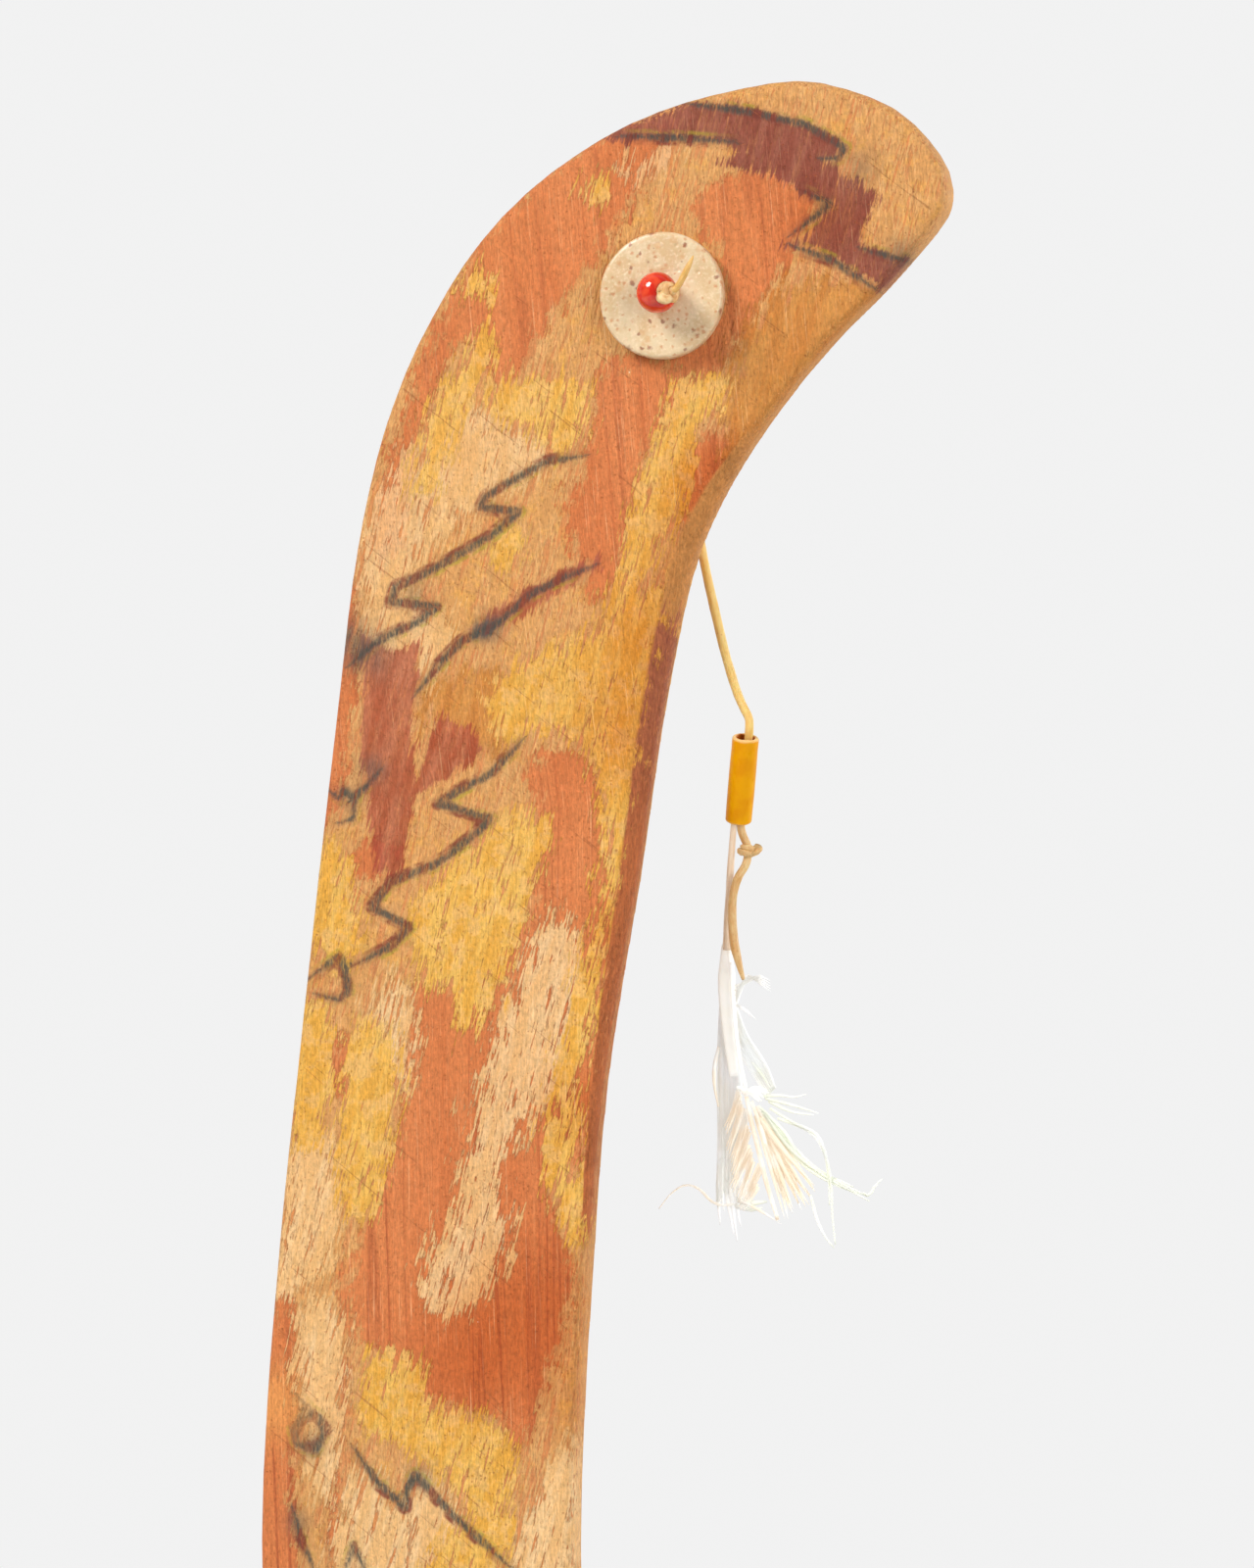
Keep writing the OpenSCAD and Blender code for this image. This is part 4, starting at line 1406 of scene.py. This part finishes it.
def buildVaneRight(bm):
    for i in range(feather["rightBarbs"]):
        t = i / (feather["rightBarbs"] - 1)
        strand(bm, [(61.2 + 0.4 * t, 20.2, 109 - 9 * t), (63.2 + 0.6 * t, 20.5, 103.5 - 6 * t),
                    (66.0 + 1.2 * (1 - t), 20.8, 97.5 - 4 * t), (69.4 - 1.6 * t, 20.6, 92.6 - 1.5 * t)],
               feather["webWidth"], 0.10, tip=0.4, seed=90 + i)


def buildFanLeft(bm):
    # slanting tan barbs that branch from the web's middle
    rows = [((61.6, 92.5), (58.6, 84.6)), ((62.2, 90), (59, 80.5)), ((63.2, 88.4), (59.8, 78)),
            ((63.6, 85), (60, 75.4)), ((64, 81), (59.8, 72.6)), ((64.4, 79), (61.2, 70.4)),
            ((66, 77.2), (61.4, 69)), ((65.4, 73.8), (62, 68.8))]
    for i, ((x0, z0), (x1, z1)) in enumerate(rows):
        for k in range(3):
            d = 0.7 * k
            strand(bm, [(x0 + d * 0.4, 20.3, z0 - d), ((x0 + x1) / 2 + 0.5, 20.6, (z0 + z1) / 2 - d),
                        (x1 + d * 0.5, 20.7 - 0.2 * k, z1 - d)], 0.5, 0.12, tip=0.2,
                   seed=100 + 3 * i + k)
    strand(bm, [(57.3, 21.6, 101), (56.3, 21.8, 97), (56.3, 21.8, 93), (57.2, 21.6, 88.6)], 0.45,
           0.14, tip=0.4, seed=130)
    strand(bm, [(60.5, 21.8, 68.6), (57.5, 21.6, 68.4), (55.4, 21.4, 69.4), (53.2, 21.2, 71.6),
                (50.4, 21, 72.4), (47.4, 20.8, 70.6), (44.8, 20.6, 67.4)], 0.32, 0.14, tip=0.3,
           seed=131)
    strand(bm, [(62.6, 19.9, 69.4), (66, 19.8, 67.8), (70.8, 19.9, 65)], 0.34, 0.14, seed=132)


def buildFanRight(bm):
    comb(bm, (65.8, 20.2, 87), [(77.6, 20.4, 72.6), (76.6, 20.5, 70), (74.4, 20.4, 68.2),
                                (71.6, 20.3, 66.6)],
         feather["fanWidth"], feather["fanSpread"], 140)


def buildStrays(bm):
    long = [
        [(66, 20, 89), (71.5, 20.2, 83.6), (75, 20.4, 78), (81, 20.5, 74.6), (88.6, 20.6, 71)],
        [(66.6, 20, 88), (71, 20.2, 82), (76, 20.4, 76.6), (82, 20.4, 73.2), (87.4, 20.5, 71.4)],
        [(67.2, 19.9, 87.6), (72.4, 20, 80.6), (79, 20.2, 75.4), (89, 20.4, 70)],
        [(66.4, 20.3, 88.6), (72.2, 20.6, 81.8), (78, 20.8, 76.4), (85.6, 20.9, 72.8)],
        [(67, 19.8, 91), (70.4, 19.7, 91.3), (73.4, 19.6, 91), (76, 19.6, 91.6)],
        [(67.4, 19.8, 90.6), (73.6, 19.7, 89.2), (78.6, 19.6, 87.8)],
        [(68, 20, 90), (72.8, 19.9, 88), (77.6, 19.8, 87.4)],
        [(68.4, 19.8, 88.6), (73.6, 19.8, 85.6), (78.2, 19.8, 83.4), (80.2, 19.8, 78.6),
         (81.2, 19.9, 73), (81.4, 20, 67), (82, 20.1, 61)],
        [(70, 19.9, 86.6), (76.6, 19.9, 84), (79.6, 19.9, 80), (80.6, 20, 74.6), (80.8, 20, 69)],
        [(76.8, 20.2, 71), (78.2, 20.2, 66), (80, 20.1, 62.4), (81.8, 20, 60.4)],
        [(87.6, 20.6, 71.6), (89, 20.6, 71.2), (90, 20.7, 73), (91.6, 20.7, 74.6)],
        [(64.5, 20.4, 98), (67, 20.2, 95), (68.6, 20, 92.4)],
    ]
    for i, points in enumerate(long):
        width = feather["strayWidth"] if i > 3 else feather["greenWidth"]
        strand(bm, points, width, 0.2, tip=0.4, seed=160 + i)
    strand(bm, [(61, 22, 69.6), (64, 21.2, 69), (67.6, 20.8, 69.4)], 0.8, 0.12, tip=0.3, seed=180)
    strand(bm, [(60.6, 22, 68.4), (64.4, 21.2, 67.6), (66.6, 20.8, 68.2)], 0.6, 0.12, tip=0.3,
           seed=181)


quillPiece = featherPiece("featherQuill", quillPink, "quill", ["feather_quill"], buildQuill)
sheathPiece = featherPiece("featherSheath", quillWhite, "quill", ["feather_sheath"], buildSheath)
shaftPiece = featherPiece("featherShaft", quillWhite, "quill", ["feather_shaft"], buildShaft)
secondPiece = featherPiece("featherSecondShaft", quillTan, "quill", ["second_shaft"],
                           buildSecondShaft)
vaneLeft = featherPiece("featherVaneLeft", webWhite, "feather_vane", ["vane_left"], buildVaneLeft)
vaneRight = featherPiece("featherVaneRight", webWhite, "feather_vane", ["vane_right"],
                         buildVaneRight)
fanLeft = featherPiece("featherFanLeft", barbTan, "feather_barb", ["barb_fan_left"], buildFanLeft)
fanRight = featherPiece("featherFanRight", barbTan, "feather_barb", ["barb_fan_right"],
                        buildFanRight)
strays = featherPiece("featherStrays", barbGreen, "feather_barb", [], buildStrays)
print("feather made")


studio = {
    "floorBelow": 0.02,
    "floorRadius": 1.5,
    "backdrop": 0.885,          # how bright the room looks behind the object
    "front": 0.25,              # how bright it is on the viewer's side
    "behind": 0.8,
    "lamps": [                  # place round the object, size, power
        ((-1.35, -1.40, 1.55), 1.1, 58),
        ((1.55, -1.35, 0.40), 1.4, 25),
        ((1.40, 1.20, 0.50), 1.2, 14),
    ],
}


def makeFloor():
    low = cadBox[0].z - studio["floorBelow"]
    bm = bmesh.new()
    bmesh.ops.create_circle(bm, cap_ends=True, segments=96, radius=studio["floorRadius"],
                            matrix=Matrix.Translation((0.04, 0, low)))
    made, tree, shader = startMaterial("paperFloor", Roughness=0.9, Specular_IOR_Level=0.2)
    cloudy = clouds(tree, placeInMm(tree), 0.02, 3.0)
    tree.links.new(blendColours(tree, cloudy, colour(206, 206, 205), colour(201, 201, 200)),
                   shader.inputs["Base Color"])
    floor = newPiece("paperFloor", bm, made, smooth=False)


def addLights():
    world = bpy.data.worlds.new("paleRoom")
    scene.world = world
    world.use_nodes = True
    tree = world.node_tree
    room = tree.nodes["Background"]
    way = addNode(tree, "SeparateXYZ", {0: addNode(tree, "TexCoord").outputs["Generated"]})
    glow = soften(tree, way.outputs[1], -0.3, 0.5, studio["front"], studio["behind"])
    seen = addNode(tree, "LightPath").outputs["Is Camera Ray"]
    strength = addNode(tree, "Mix", {0: seen, 2: glow, 3: studio["backdrop"]}).outputs[0]
    tree.links.new(strength, room.inputs["Strength"])
    room.inputs["Color"].default_value = (1, 1, 1, 1)
    for i, (place, size, power) in enumerate(studio["lamps"]):
        data = bpy.data.lights.new("lamp%d" % i, "AREA")
        data.shape = "DISK"
        data.size = size
        data.energy = power
        lamp = bpy.data.objects.new("lamp%d" % i, data)
        scene.collection.objects.link(lamp)
        lamp.location = Vector(viewer["aim"]) + Vector(place)
        lamp.rotation_mode = "QUATERNION"
        lamp.rotation_quaternion = (-Vector(place)).to_track_quat("-Z", "Y")
    scene.view_settings.view_transform = "Standard"


makeFloor()
addLights()
print("floor and lights ready")
